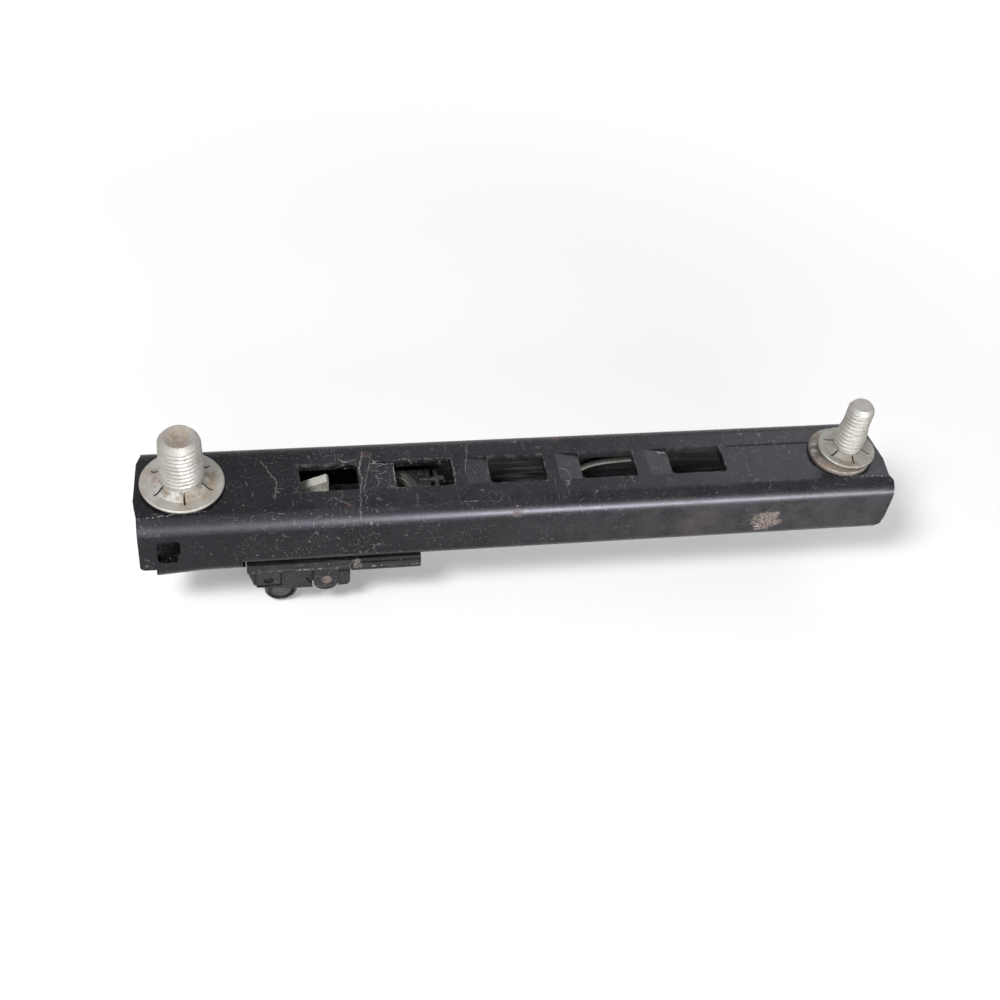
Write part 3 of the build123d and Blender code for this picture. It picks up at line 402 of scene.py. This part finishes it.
# rustAt is a place in mm, its reach, how soft its edge is and the mottling's threshold
zincPieces = {
    "upper_anchor_stud": {
        "name": "upperStudZinc", "rust": 0.30, "clean": 0.80, "pale": 0.45,
        "rustAt": ((0.0, 0.0, 16.8), 4.6, 0.55, (0.30, 0.62)),
    },
    "upper_retaining_washer": {
        "name": "upperWasherZinc", "rust": 0.12, "clean": 0.97, "shadedSides": 0.85,
        "ring": (0.0, 0.0, 6.2, 9.4),  # x, y, inner and outer radius
    },
    "lower_anchor_stud": {"name": "lowerStudZinc", "rust": 0.25, "clean": 0.84, "pale": 0.15},
    "lower_backing_washer": {
        "name": "backingWasherRust", "rust": 0.8, "clean": 0.7, "shadedSides": 0.5,
        "rustAt": ((170.5, -6.0, 1.0), 7.0, 0.9, (0.36, 0.58)),
        "dirtAt": ((168.5, 1.0, 0.6), 7.5),
    },
    "lower_retaining_washer": {
        "name": "lowerWasherZinc", "rust": 0.34, "clean": 0.78, "shadedSides": 0.75,
        "rustAt": ((176.0, -7.5, 1.6), 5.5, 0.9, (0.36, 0.58)),
    },
}


def makeZinc(name, rust, clean, pale=0.0, rustAt=None, dirtAt=None, ring=None, shadedSides=0.0):
    s = Finish(name, {"Specular IOR Level": 0.5, "Metallic": 0.25})
    patch = s.noise(5.0, 3.0, 0.6)
    fine = s.noise(0.7, 4.0, 0.65)
    mottled = s.noise(1.9, 4.0, 0.65, twist=0.7)
    bright, shade, white = (tuple(c * clean for c in zinc[k]) for k in ("clean", "shade", "white"))
    colour = s.layers(bright, (patch.ramp(0.35, 0.70), shade), (fine.ramp(0.55, 0.75) * 0.6, white))
    if pale:
        colour = s.mix(pale * fine.ramp(0.30, 0.60), colour, white)
    rusty = mottled.ramp(0.60 - 0.16 * rust, 0.78 - 0.14 * rust)
    if rustAt:
        place, reach, soft, threshold = rustAt
        rusty = (rusty + s.near(place, reach, soft) * mottled.ramp(*threshold)).unit()
    if ring:
        # rust round the stud's hole, and dirt at its very edge
        x, y, inner, outer = ring
        away = ((s.x - x) ** 2.0 + (s.y - y) ** 2.0).root()
        around = away.ramp(outer, outer - 1.6) * away.ramp(inner - 1.2, inner)
        rusty = (rusty + around * s.noise(2.4, 3.0).ramp(0.44, 0.64) * 0.65).unit()
        dark = away.ramp(inner + 1.6, inner + 0.2) * s.noise(1.6, 3.0).ramp(0.40, 0.60)
        colour = s.mix(dark * 0.55, colour, zinc["dirt"])
    colour = s.layers(
        colour,
        (rusty * 0.62, zinc["rust"]),
        (rusty * fine.ramp(0.52, 0.70) * 0.70, zinc["deepRust"]))
    if dirtAt:
        place, reach = dirtAt
        colour = s.mix(s.near(place, reach, 0.7) * mottled.ramp(0.32, 0.55) * 0.85, colour, zinc["dirt"])
    colour = s.mix(s.specks(0.75, 0.20, 0.26) * 0.55, colour, zinc["deepRust"])
    # painted shade: faces turned away from up are darkened with the dirt colour, on the washers' sides
    if shadedSides:
        colour = s.mix(s.facingZ.ramp(0.45, 0.12) * shadedSides, colour, zinc["dirt"])
    return s.cover(
        colour, 0.44 + 0.22 * mottled + 0.25 * rusty, fine * 0.5 + mottled * 0.7 + rusty * 0.4,
        strength=0.42, depth=0.18, metallic=0.42 - 0.40 * rusty - 0.2 * mottled)


pawlPlate = {
    "cream": (0.50, 0.485, 0.43), "stripe": (0.64, 0.625, 0.57), "bloom": (0.56, 0.55, 0.49),
    "top": (0.64, 0.63, 0.585), "pawlShade": (0.022, 0.021, 0.021), "dirt": (0.08, 0.066, 0.05),
    "clean": ((30.6, 27.0), (37.6, 39.0), (-8.0, -11.0)),  # borders in mm: x, x and z
}


def makePawlSteel():
    # the blanked edge's creamy plating with shear stripes; upward faces painted lighter as a painted
    # highlight, and the pawl painted dark away from the tooth as painted shade
    s = Finish("blankedPawlSteel", {"Specular IOR Level": 0.45})
    stripes = s.noise(1.0, 2.0, 0.5, where=s.stretched((2.6, 0.9, 0.16)))
    fine = s.noise(0.6, 4.0, 0.65)
    left, right, below = pawlPlate["clean"]
    # 1 away from the tooth, where the pawl is painted dark: painted shade
    oily = s.x.ramp(*left).high(s.z.ramp(*below)).high(s.x.ramp(*right))
    colour = s.layers(
        pawlPlate["cream"],
        (stripes.ramp(0.30, 0.75), pawlPlate["stripe"]),
        (fine.ramp(0.55, 0.74) * 0.5, pawlPlate["bloom"]),
        # painted highlight: upward faces are coloured lighter
        (s.facingZ.ramp(0.4, 0.75) * 0.45, pawlPlate["top"]),
        (oily * 0.93, pawlPlate["pawlShade"]),
        (s.noise(3.0, 3.0).ramp(0.58, 0.75) * 0.45, pawlPlate["dirt"]))
    return s.cover(colour, 0.40 + 0.25 * fine + 0.08 * oily, stripes * 0.6 + fine * 0.5,
                   strength=0.35, depth=0.18, metallic=0.30 - 0.25 * stripes)


plastic = {
    "black": (0.0075, 0.0075, 0.0095), "grey": (0.018, 0.018, 0.020), "bloom": (0.0185, 0.0185, 0.0225),
    "streak": (0.13, 0.13, 0.135), "dust": (0.30, 0.28, 0.26), "dirt": (0.34, 0.31, 0.28),
    "grime": (0.085, 0.080, 0.076),
    "ledge": -20.8, "joint": (42.9, -12.6, -19.6),  # mm
}


def makeBlackPlastic(name, base):
    s = Finish(name, {"Specular IOR Level": 0.19})
    patch = s.noise(5.0, 3.0, 0.6)
    grain = s.noise(0.28, 2.0, 0.6)
    streak = s.scratches((0.12, 2.2, 2.4), (0, 4, 0), 0.64)
    specks = (s.specks(0.9, 0.22, 0.24) * 0.8 + s.specks(1.8, 0.10, 0.15)).unit()
    # dirt caught along the ledge's lower edge and at the joint behind the shoe
    edge = abs(s.z - plastic["ledge"]).ramp(0.55, 0.15) * s.noise(0.9, 4.0, 0.65).ramp(0.52, 0.62)
    joint = s.near(plastic["joint"], 2.0, 0.8) * s.noise(0.7, 3.0).ramp(0.46, 0.56)
    grime = s.noise(2.2, 3.0, 0.6, twist=0.6).ramp(0.58, 0.74)
    colour = s.layers(
        base,
        (patch.ramp(0.38, 0.72) * 0.85, plastic["bloom"]),
        (streak * 0.30, plastic["streak"]),
        (specks * 0.55, plastic["dust"]),
        ((edge * 0.6 + joint * 0.9).unit(), plastic["dirt"]),
        (grime * 0.35, plastic["grime"]))
    return s.cover(colour, 0.52 + 0.18 * patch + 0.12 * grain,
                   grain * 0.35 + patch * 0.5 + specks * 0.4 + grime * 0.5, strength=0.35, depth=0.16)


release = {
    "black": (0.018, 0.018, 0.021), "grey": (0.052, 0.050, 0.055), "dirt": (0.006, 0.006, 0.007),
    "dust": (0.34, 0.33, 0.32),
    "x": 23.8, "z": -31.7, "inner": (1.9, 2.5), "outer": (3.85, 3.45),  # mm
}


def makeReleasePlastic():
    # the bar's end faces carry a dark jagged ring near the rim: dirt, and painted shade of the hollow that
    # the bump suggests
    s = Finish("dirtyReleasePlastic", {"Specular IOR Level": 0.35})
    patch = s.noise(2.4, 4.0, 0.65)
    teeth = s.noise(0.7, 3.0, 0.7, twist=0.8)
    away = ((s.x - release["x"]) ** 2.0 + (s.z - release["z"]) ** 2.0).root()
    ring = (away + (teeth - 0.5) * 2.2).ramp(*release["inner"])
    ring = ring * (away + (teeth - 0.5) * 0.9).ramp(*release["outer"])
    colour = s.layers(
        release["black"],
        (patch.ramp(0.35, 0.70), release["grey"]),
        (ring * abs(s.facingY).ramp(0.6, 0.9) * 0.93, release["dirt"]),
        (s.specks(0.6, 0.34, 0.26) * 0.6, release["dust"]))
    return s.cover(colour, 0.45 + 0.2 * patch, patch * 0.6 - ring * 0.8 + teeth * 0.4,
                   strength=0.4, depth=0.18)


oily = {
    "spots": (0.012, 0.011, 0.010),
    # base colour and gleam
    "oilySteel": ((0.022, 0.021, 0.020), (0.080, 0.075, 0.066)),
    "oilyPlate": ((0.022, 0.022, 0.022), (0.085, 0.080, 0.074)),
    "darkRivet": ((0.020, 0.019, 0.018), (0.10, 0.094, 0.085)),
}


def makeOilySteel(name):
    s = Finish(name, {"Specular IOR Level": 0.5})
    patch = s.noise(2.6, 3.0)
    fine = s.noise(0.5, 3.0, 0.6)
    base, gleam = oily[name]
    colour = s.layers(base, (patch.ramp(0.40, 0.70), gleam), (fine.ramp(0.58, 0.74) * 0.5, oily["spots"]))
    return s.cover(colour, 0.30 + 0.25 * fine, fine * 0.5 + patch * 0.4,
                   strength=0.3, depth=0.12, metallic=0.65 - 0.4 * patch)


grease = {"dark": (0.012, 0.012, 0.012), "pale": (0.045, 0.045, 0.043), "grit": (0.20, 0.20, 0.185)}


def makeGreasyBlock():
    # the shoe under the web is caked with dark grease that holds grit
    s = Finish("greasyBlock", {"Specular IOR Level": 0.45})
    lumps = s.noise(1.1, 4.0, 0.65, twist=0.6)
    grit = s.specks(0.55, 0.30, 0.30)
    colour = s.layers(
        grease["dark"],
        (lumps.ramp(0.42, 0.70), grease["pale"]),
        (grit * lumps.ramp(0.45, 0.6) * 0.65, grease["grit"]))
    return s.cover(colour, 0.22 + 0.35 * lumps, lumps * 1.2 + grit * 0.4, strength=0.6, depth=0.3)


rivet = {
    "dark": (0.035, 0.033, 0.036), "pale": (0.075, 0.060, 0.055),
    "copper": (0.20, 0.115, 0.085), "paleCopper": (0.36, 0.27, 0.22), "copperAt": (35.6, -12.9, -25.3),
}


def makeRustyRivet():
    s = Finish("rustyRivet", {"Specular IOR Level": 0.4})
    lumps = s.noise(0.8, 4.0, 0.65, twist=0.8)
    copper = s.near(rivet["copperAt"], 1.7, 0.6) * lumps.ramp(0.40, 0.56)
    colour = s.layers(
        rivet["dark"],
        (lumps.ramp(0.34, 0.66), rivet["pale"]),
        (copper * 0.7, rivet["copper"]),
        (copper * s.noise(0.45, 3.0).ramp(0.55, 0.68) * 0.5, rivet["paleCopper"]))
    return s.cover(colour, 0.5 + 0.3 * lumps, lumps, strength=0.5, depth=0.2)


sleeve = {"cream": (0.93, 0.92, 0.84), "yellowed": (0.84, 0.81, 0.72), "stain": (0.34, 0.24, 0.20)}


def makeWireCoat():
    s = Finish("creamWire", {"Specular IOR Level": 0.35})
    patch = s.noise(2.0, 3.0, 0.6)
    colour = s.layers(
        sleeve["cream"],
        (patch.ramp(0.35, 0.65), sleeve["yellowed"]),
        (s.noise(0.7, 3.0).ramp(0.58, 0.70) * 0.6, sleeve["stain"]))
    return s.cover(colour, 0.38 + 0.2 * patch, patch, strength=0.3, depth=0.12)


nutSteel = {
    "deepShade": (0.018, 0.017, 0.016), "cream": (0.155, 0.145, 0.120), "brown": (0.12, 0.09, 0.06),
    "face": (0.070, 0.070, 0.068), "fleck": (0.05, 0.045, 0.04),
    "highlightFrom": (-11.5, -7.0), "faceFrom": (-5.75, -5.5),  # z in mm
}


def makeNutSteel():
    # the thread is painted bright cream near its mouth as a painted highlight, and painted dark further
    # down as painted shade
    s = Finish("nutSteel", {"Specular IOR Level": 0.5})
    fine = s.noise(0.7, 4.0, 0.65)
    patch = s.noise(2.2, 3.0)
    colour = s.layers(
        nutSteel["deepShade"],
        (s.z.ramp(*nutSteel["highlightFrom"]), nutSteel["cream"]),
        (patch.ramp(0.52, 0.70) * 0.5, nutSteel["brown"]),
        (s.z.ramp(*nutSteel["faceFrom"]), nutSteel["face"]),
        (fine.ramp(0.56, 0.72) * 0.35, nutSteel["fleck"]))
    return s.cover(colour, 0.30 + 0.25 * fine, fine * 0.6 + patch * 0.4,
                   strength=0.35, depth=0.14, metallic=0.45 - 0.3 * patch)


finishes = {piece: makeZinc(**settings) for piece, settings in zincPieces.items()}
finishes.update({
    "rail": makeBlackCoat(), "anti_rattle_wire": makeWireCoat(), "pawl": makePawlSteel(),
    "release_bar": makeReleasePlastic(), "web_shoe": makeGreasyBlock(), "anchor_nut": makeNutSteel(),
    "carriage_plate": makeOilySteel("oilyPlate"), "shoe_rivet": makeOilySteel("darkRivet"),
})
shared = (
    (makeBlackPlastic("dustyBlackPlastic", plastic["black"]),
     ("outer_shoe", "rear_saddle", "near_end_pad", "far_end_pad")),
    (makeBlackPlastic("greyInsertPlastic", plastic["grey"]), ("near_cheek_insert", "far_cheek_insert")),
    (makeOilySteel("oilySteel"),
     ("pawl_spring", "pawl_pin", "pin_clip", "near_insert_pin", "far_insert_pin")),
    (makeRustyRivet(), ("near_lug_rivet", "far_lug_rivet")),
)
for material, pieces in shared:
    finishes.update(dict.fromkeys(pieces, material))
for name, node in nodes.items():
    node.data.materials.clear()
    node.data.materials.append(finishes[name])
print("materials made:", len(bpy.data.materials))


def newPiece(name, mesh, material, body, smoothAngle):
    bmesh.ops.remove_doubles(mesh, verts=mesh.verts, dist=weld)
    bmesh.ops.recalc_face_normals(mesh, faces=mesh.faces)
    data = bpy.data.meshes.new(name)
    mesh.to_mesh(data)
    mesh.free()
    piece = bpy.data.objects.new(name, data)
    bpy.context.scene.collection.objects.link(piece)
    data.materials.append(material)
    for face in data.polygons:
        face.use_smooth = True
    data.set_sharp_from_angle(angle=radians(smoothAngle))
    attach(piece, body)
    return piece


def cutAway(mesh, place, normal, inner=False):
    # removes what lies outside, or inside, a plane through a place in mm, and gives the cut
    everything = mesh.verts[:] + mesh.edges[:] + mesh.faces[:]
    return bmesh.ops.bisect_plane(mesh, geom=everything, plane_co=[value * mm for value in place],
                                  plane_no=normal, clear_inner=inner, clear_outer=not inner)["geom_cut"]


# along one tooth: share of the pitch and of the depth
boreTooth = ((0.0, 1.0), (0.11, 1.0), (0.46, 0.0), (0.56, 0.0), (0.92, 1.0))
studTooth = tuple((share, 1.0 - depth) for share, depth in boreTooth)

# cup: rings of radius and height in mm, from the rim into the point's hollow
upperStud = {
    "x": 0.0, "radius": 5.555, "pitch": 1.27, "depth": 0.32, "tooth": studTooth, "steps": 72,
    "top": 17.0, "rim": 4.05, "slope": 0.78, "threadStart": 3.155, "crests": ((8.0, 5.555), (15.4, 5.3)),
    "neck": 5.3, "runOut": 0.9,
    "headRadius": 9.0, "headTop": -2.3, "headBottom": -6.8, "headBevel": 0.8, "headCorner": 0.3,
    "cup": ((3.85, 17.0), (3.3, 16.72), (2.3, 16.24), (1.35, 16.0), (1.15, 15.6), (0.45, 15.35)),
}
lowerStud = {
    "x": 177.3, "radius": 3.975, "pitch": 1.25, "depth": 0.46, "tooth": studTooth, "steps": 60,
    "top": 18.0, "rim": 2.65, "slope": 0.69, "threadStart": 3.425, "crests": ((8.6, 3.975), (11.2, 3.56)),
    "neck": 3.75, "runOut": 0.9,
    "headRadius": 7.5, "headTop": -2.3, "headBottom": -6.3, "headBevel": 0.7, "headCorner": 0.3,
    "cup": ((2.4, 17.97), (1.3, 17.93)),
}
nutThread = {
    "x": 53.0, "radius": 5.555, "pitch": 1.27, "depth": 0.60, "tooth": boreTooth, "steps": 72,
    "bottom": -25.8, "top": -5.6,
    # the nut's outside from its mouth down to the countersink, then back to the thread
    "outside": ((5.555, -5.6), (5.955, -5.2), (6.8, -5.2), (6.8, -15.65), (7.7, -15.65), (7.7, -26.5),
                (6.255, -26.5), (5.555, -25.8)),
}
threadAngle = 28.0  # flatter edges than this are shaded smooth


def spinThread(mesh, thread, low, high):
    # one tooth profile run the full length, spun once with a rise of one pitch
    pitch, x = thread["pitch"], thread["x"]
    chain = []
    for turn in range(-1, int((high - low) / pitch) + 3):
        for share, depth in thread["tooth"]:
            chain.append((thread["radius"] - depth * thread["depth"], low + (turn + share) * pitch))
    points = [mesh.verts.new(((x + r) * mm, 0.0, h * mm)) for r, h in chain]
    edges = [mesh.edges.new(pair) for pair in zip(points, points[1:])]
    bmesh.ops.spin(mesh, geom=points + edges, cent=(x * mm, 0, 0), axis=(0, 0, 1),
                   dvec=(0, 0, pitch * mm / thread["steps"]), angle=2 * pi, steps=thread["steps"],
                   use_merge=False)
    bmesh.ops.remove_doubles(mesh, verts=mesh.verts, dist=2 * weld)
    cutAway(mesh, (0, 0, low), (0, 0, 1), inner=True)
    cutAway(mesh, (0, 0, high), (0, 0, 1))


def rimAt(mesh, height):
    def onRim(vert):
        return abs(vert.co.z - height * mm) < 2 * weld
    return [edge for edge in mesh.edges if edge.is_boundary and all(map(onRim, edge.verts))]


def addRings(mesh, x, rim, rings):
    # grows a rim through rings of (radius, height) in mm and returns the last one
    for radius, height in rings:
        grown = bmesh.ops.extrude_edge_only(mesh, edges=rim)["geom"]
        for vert in (g for g in grown if isinstance(g, bmesh.types.BMVert)):
            dx, dy = vert.co.x - x * mm, vert.co.y
            away = max(hypot(dx, dy), 1e-9)
            vert.co = Vector((x * mm + dx * radius * mm / away, dy * radius * mm / away, height * mm))
        rim = [g for g in grown if isinstance(g, bmesh.types.BMEdge) and g.is_boundary]
    return rim


def shapePoint(mesh, stud):
    # crests worn towards the tip, the point's cone, and the run-out at the neck
    x = stud["x"] * mm
    (wornFrom, full), (wornTo, worn) = stud["crests"]
    for vert in mesh.verts:
        dx, dy = vert.co.x - x, vert.co.y
        away = hypot(dx, dy)
        height = vert.co.z / mm
        share = min(max((height - wornFrom) / (wornTo - wornFrom), 0.0), 1.0)
        crest = full + (worn - full) * share
        cone = (stud["rim"] + (stud["top"] - height) * stud["slope"]) * mm
        runOut = (stud["neck"] + (height - stud["threadStart"]) * stud["runOut"]) * mm
        limit = min(away * crest / full, cone, runOut)
        vert.co.x = x + dx * limit / away
        vert.co.y = dy * limit / away


def makeThreadedStud(name, node, stud):
    mesh = bmesh.new()
    x, low, neck = stud["x"], stud["threadStart"], stud["neck"]
    spinThread(mesh, stud, low, stud["top"])
    shapePoint(mesh, stud)
    bmesh.ops.contextual_create(mesh, geom=addRings(mesh, x, rimAt(mesh, stud["top"]), stud["cup"]))
    outer, top, bottom = stud["headRadius"], stud["headTop"], stud["headBottom"]
    corner, bevel = stud["headCorner"], stud["headBevel"]
    last = addRings(mesh, x, rimAt(mesh, low), (
        (neck, low), (neck, top), (outer - corner, top), (outer, top - corner), (outer, bottom + bevel),
        (outer - bevel, bottom), (outer * 0.4, bottom)))
    bmesh.ops.contextual_create(mesh, geom=last)
    piece = newPiece(name, mesh, finishes[node], "channel", threadAngle)
    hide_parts(node)


def makeThreadedNut():
    nut = nutThread
    mesh = bmesh.new()
    spinThread(mesh, nut, nut["bottom"], nut["top"])
    last = addRings(mesh, nut["x"], rimAt(mesh, nut["top"]), nut["outside"])
    # the last ring lies on the countersink's edge, over the thread's lower rim
    bottomRim = [edge for edge in rimAt(mesh, nut["bottom"]) if edge not in last]
    bmesh.ops.bridge_loops(mesh, edges=last + bottomRim)
    piece = newPiece("threadedAnchorNut", mesh, finishes["anchor_nut"], "carriage", threadAngle)
    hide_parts("anchor_nut")


makeThreadedStud("upperThreadedStud", "upper_anchor_stud", upperStud)
makeThreadedStud("lowerThreadedStud", "lower_anchor_stud", lowerStud)
makeThreadedNut()
print("threaded studs and nut made")


rattleWire = {
    "path": ((105.7, -14.35), (106.7, -12.75), (108.3, -11.55), (110.4, -10.75), (113.2, -10.15),
             (116.8, -9.75), (120.8, -9.5)),  # x and z in mm
    "y": 10.38, "radius": 0.76, "segments": 14, "smoothAngle": 50.0,
}


def makeRattleWire():
    # a circle carried along the path, turned half a bend at each point
    wire = rattleWire
    path, y = wire["path"], wire["y"]
    steps = [(b[0] - a[0], b[1] - a[1]) for a, b in zip(path, path[1:])]
    ways = [atan2(*step) for step in steps]
    turns = [ways[0], *((a + b) / 2 for a, b in zip(ways, ways[1:])), ways[-1]]
    mesh = bmesh.new()
    bmesh.ops.create_circle(mesh, cap_ends=True, segments=wire["segments"], radius=wire["radius"] * mm)
    bmesh.ops.rotate(mesh, verts=mesh.verts, matrix=Matrix.Rotation(turns[0], 3, "Y"))
    bmesh.ops.translate(mesh, verts=mesh.verts, vec=(path[0][0] * mm, y * mm, path[0][1] * mm))
    rim = mesh.edges[:]
    for (dx, dz), (x, z), before, after in zip(steps, path[1:], turns, turns[1:]):
        grown = bmesh.ops.extrude_edge_only(mesh, edges=rim)["geom"]
        verts = [g for g in grown if isinstance(g, bmesh.types.BMVert)]
        bmesh.ops.translate(mesh, verts=verts, vec=(dx * mm, 0, dz * mm))
        bmesh.ops.rotate(mesh, verts=verts, cent=(x * mm, y * mm, z * mm),
                         matrix=Matrix.Rotation(after - before, 3, "Y"))
        rim = [g for g in grown if isinstance(g, bmesh.types.BMEdge) and all(v in verts for v in g.verts)]
    bmesh.ops.contextual_create(mesh, geom=rim)
    piece = newPiece("archedWire", mesh, finishes["anti_rattle_wire"], "channel", wire["smoothAngle"])
    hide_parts("anti_rattle_wire")


makeRattleWire()
print("wire made")


# the mouth's strap runs a little further at both ends than the solid's: black slices of the rail put where
# the floor would show, standing in for the shade inside the mouth
mouth = {
    "top": -18.06, "smoothAngle": 30.0,
    # the slice of the rail that each end repeats, from and to along x, and its shift outwards
    "ends": {"mouthEnd1": (-7.0, -6.55, -0.42), "mouthEnd2": (13.15, 13.95, 0.78)},
}


def makeMouthEnd(name, start, end, shift):
    mesh = bmesh.new()
    mesh.from_mesh(nodes["rail"].data)
    bmesh.ops.remove_doubles(mesh, verts=mesh.verts, dist=weld)
    sides = (((start, 0, 0), (-1, 0, 0)), ((end, 0, 0), (1, 0, 0)), ((0, 0, mouth["top"]), (0, 0, 1)))
    for place, side in sides:
        rim = [g for g in cutAway(mesh, place, side) if isinstance(g, bmesh.types.BMEdge)]
        bmesh.ops.holes_fill(mesh, edges=[edge for edge in rim if edge.is_valid and edge.is_boundary])
    bmesh.ops.translate(mesh, verts=mesh.verts, vec=(shift * mm, 0, 0))
    piece = newPiece(name, mesh, finishes["rail"], "channel", mouth["smoothAngle"])


# these slices are a dark fill for the shade in the mouth
for name, settings in mouth["ends"].items():
    makeMouthEnd(name, *settings)
print("mouth ends made")


# in metres; the floor is lit near the object and plain white further out
stage = {
    "floorAt": (0.088, 0.0, -0.0368), "floorReach": 1.6, "floorGrey": 0.86, "floorGlow": 0.17,
    "whiteAround": (0.09, 0.0, -0.0368), "whiteFrom": 0.13, "whiteAt": 0.24,
    "ambient": 0.30,
}
white = (1.0, 1.0, 1.0, 1.0)


def seenRays(tree):
    # 1 where the camera looks, also by way of gloss or glass
    rays = ("Is Camera Ray", "Is Glossy Ray", "Is Transmission Ray")
    return highest(tree.split("ShaderNodeLightPath", {}, rays))


def makeFloor():
    mesh = bmesh.new()
    bmesh.ops.create_grid(mesh, x_segments=1, y_segments=1, size=stage["floorReach"])
    bmesh.ops.translate(mesh, verts=mesh.verts, vec=stage["floorAt"])
    data = bpy.data.meshes.new("studioFloor")
    mesh.to_mesh(data)
    mesh.free()
    floor = bpy.data.objects.new("studioFloor", data)
    bpy.context.scene.collection.objects.link(floor)

    material = bpy.data.materials.new("paleFloor")
    material.use_nodes = True
    material.node_tree.nodes.clear()
    tree = Tree(material.node_tree)
    seen = seenRays(tree)
    grey = stage["floorGrey"]
    diffuse = tree.add("ShaderNodeBsdfDiffuse", {}, {"Color": (grey, grey, grey, 1.0)})
    glow = tree.add("ShaderNodeEmission", {}, {"Strength": seen * stage["floorGlow"]})
    lit = tree.add("ShaderNodeAddShader", {}, {0: diffuse, 1: glow})
    place = tree.add("ShaderNodeTexCoord", {}, {}, "Object")
    away = tree.add("ShaderNodeVectorMath", {"operation": "DISTANCE"},
                    {0: place, 1: stage["whiteAround"]}, "Value")
    plain = tree.add("ShaderNodeEmission", {}, {"Color": white, "Strength": 1.0})
    share = away.ramp(stage["whiteFrom"], stage["whiteAt"]) * seen
    shown = tree.add("ShaderNodeMixShader", {}, {0: share, 1: lit, 2: plain})
    tree.add("ShaderNodeOutputMaterial", {}, {"Surface": shown}, None)
    data.materials.append(material)


def makeWorld():
    # plain white where it is seen, and a softer light on the object
    world = bpy.data.worlds.new("studioWorld")
    bpy.context.scene.world = world
    world.use_nodes = True
    world.node_tree.nodes.clear()
    tree = Tree(world.node_tree)
    ambient, plain = (tree.add("ShaderNodeBackground", {}, {"Color": white, "Strength": strength})
                      for strength in (stage["ambient"], 1.0))
    shown = tree.add("ShaderNodeMixShader", {}, {0: seenRays(tree), 1: ambient, 2: plain})
    tree.add("ShaderNodeOutputWorld", {}, {"Surface": shown}, None)


lamps = {
    "overhead": {"at": (-0.34, -0.33, 0.72), "aim": (0.08, 0.0, 0.0), "size": (0.26, 0.22), "watts": 6.2},
    "front": {"at": (0.20, -0.72, 0.22), "aim": (0.09, 0.0, -0.005), "size": (0.50, 0.30), "watts": 2.6},
    # these three show only in the gloss of the near bend
    "bendLeft": {"at": (0.10, -0.75, 0.055), "aim": (0.06, 0.0, -0.005), "size": (0.24, 0.18),
                 "watts": 9.0, "glossOnly": True},
    "bendRight": {"at": (0.34, -0.75, 0.055), "aim": (0.10, 0.0, -0.005), "size": (0.24, 0.18),
                  "watts": 7.8, "glossOnly": True},
    "bendFar": {"at": (0.59, -0.75, 0.055), "aim": (0.15, 0.0, -0.005), "size": (0.26, 0.18),
                "watts": 4.4, "glossOnly": True},
    # reflected by the web's lower end only
    "behind": {"at": (0.58, 0.54, 0.63), "aim": (0.165, 0.0, 0.0), "size": (0.36, 0.35), "watts": 0.95},
}


def makeLamps():
    for name, lamp in lamps.items():
        light = bpy.data.lights.new(name, "AREA")
        light.shape = "RECTANGLE"
        light.size, light.size_y = lamp["size"]
        light.energy = lamp["watts"]
        holder = bpy.data.objects.new(name, light)
        holder.location = lamp["at"]
        way = Vector(lamp["aim"]) - Vector(lamp["at"])
        holder.rotation_euler = way.to_track_quat("-Z", "Y").to_euler()
        holder.visible_diffuse = not lamp.get("glossOnly", False)
        bpy.context.scene.collection.objects.link(holder)


# lens in mm, angles in degrees, place in metres
view = {
    "focal": 52.5787, "sensor": 36.0, "clip": (0.01, 20.0),
    "azimuth": 16.364, "elevation": 47.284, "roll": 9.186, "at": (0.007936, -0.254158, 0.274694),
}


def makeCamera():
    camera = bpy.data.cameras.new("photoCamera")
    camera.lens = view["focal"]
    camera.sensor_width = view["sensor"]
    camera.sensor_fit = "HORIZONTAL"
    camera.clip_start, camera.clip_end = view["clip"]
    holder = bpy.data.objects.new("photoCamera", camera)
    bpy.context.scene.collection.objects.link(holder)
    azimuth, elevation, roll = (radians(view[k]) for k in ("azimuth", "elevation", "roll"))
    ahead = Vector((sin(azimuth) * cos(elevation), cos(azimuth) * cos(elevation), -sin(elevation)))
    right = Vector((cos(azimuth), -sin(azimuth), 0.0))
    up = right.cross(ahead)
    rightRolled = right * cos(roll) + up * sin(roll)
    upRolled = up * cos(roll) - right * sin(roll)
    turn = Matrix((rightRolled, upRolled, -ahead)).transposed().to_4x4()
    holder.matrix_world = Matrix.Translation(view["at"]) @ turn
    bpy.context.scene.camera = holder


makeFloor()
makeWorld()
makeLamps()
makeCamera()
bpy.context.scene.view_settings.view_transform = "Standard"
print("stage, lamps and camera set")
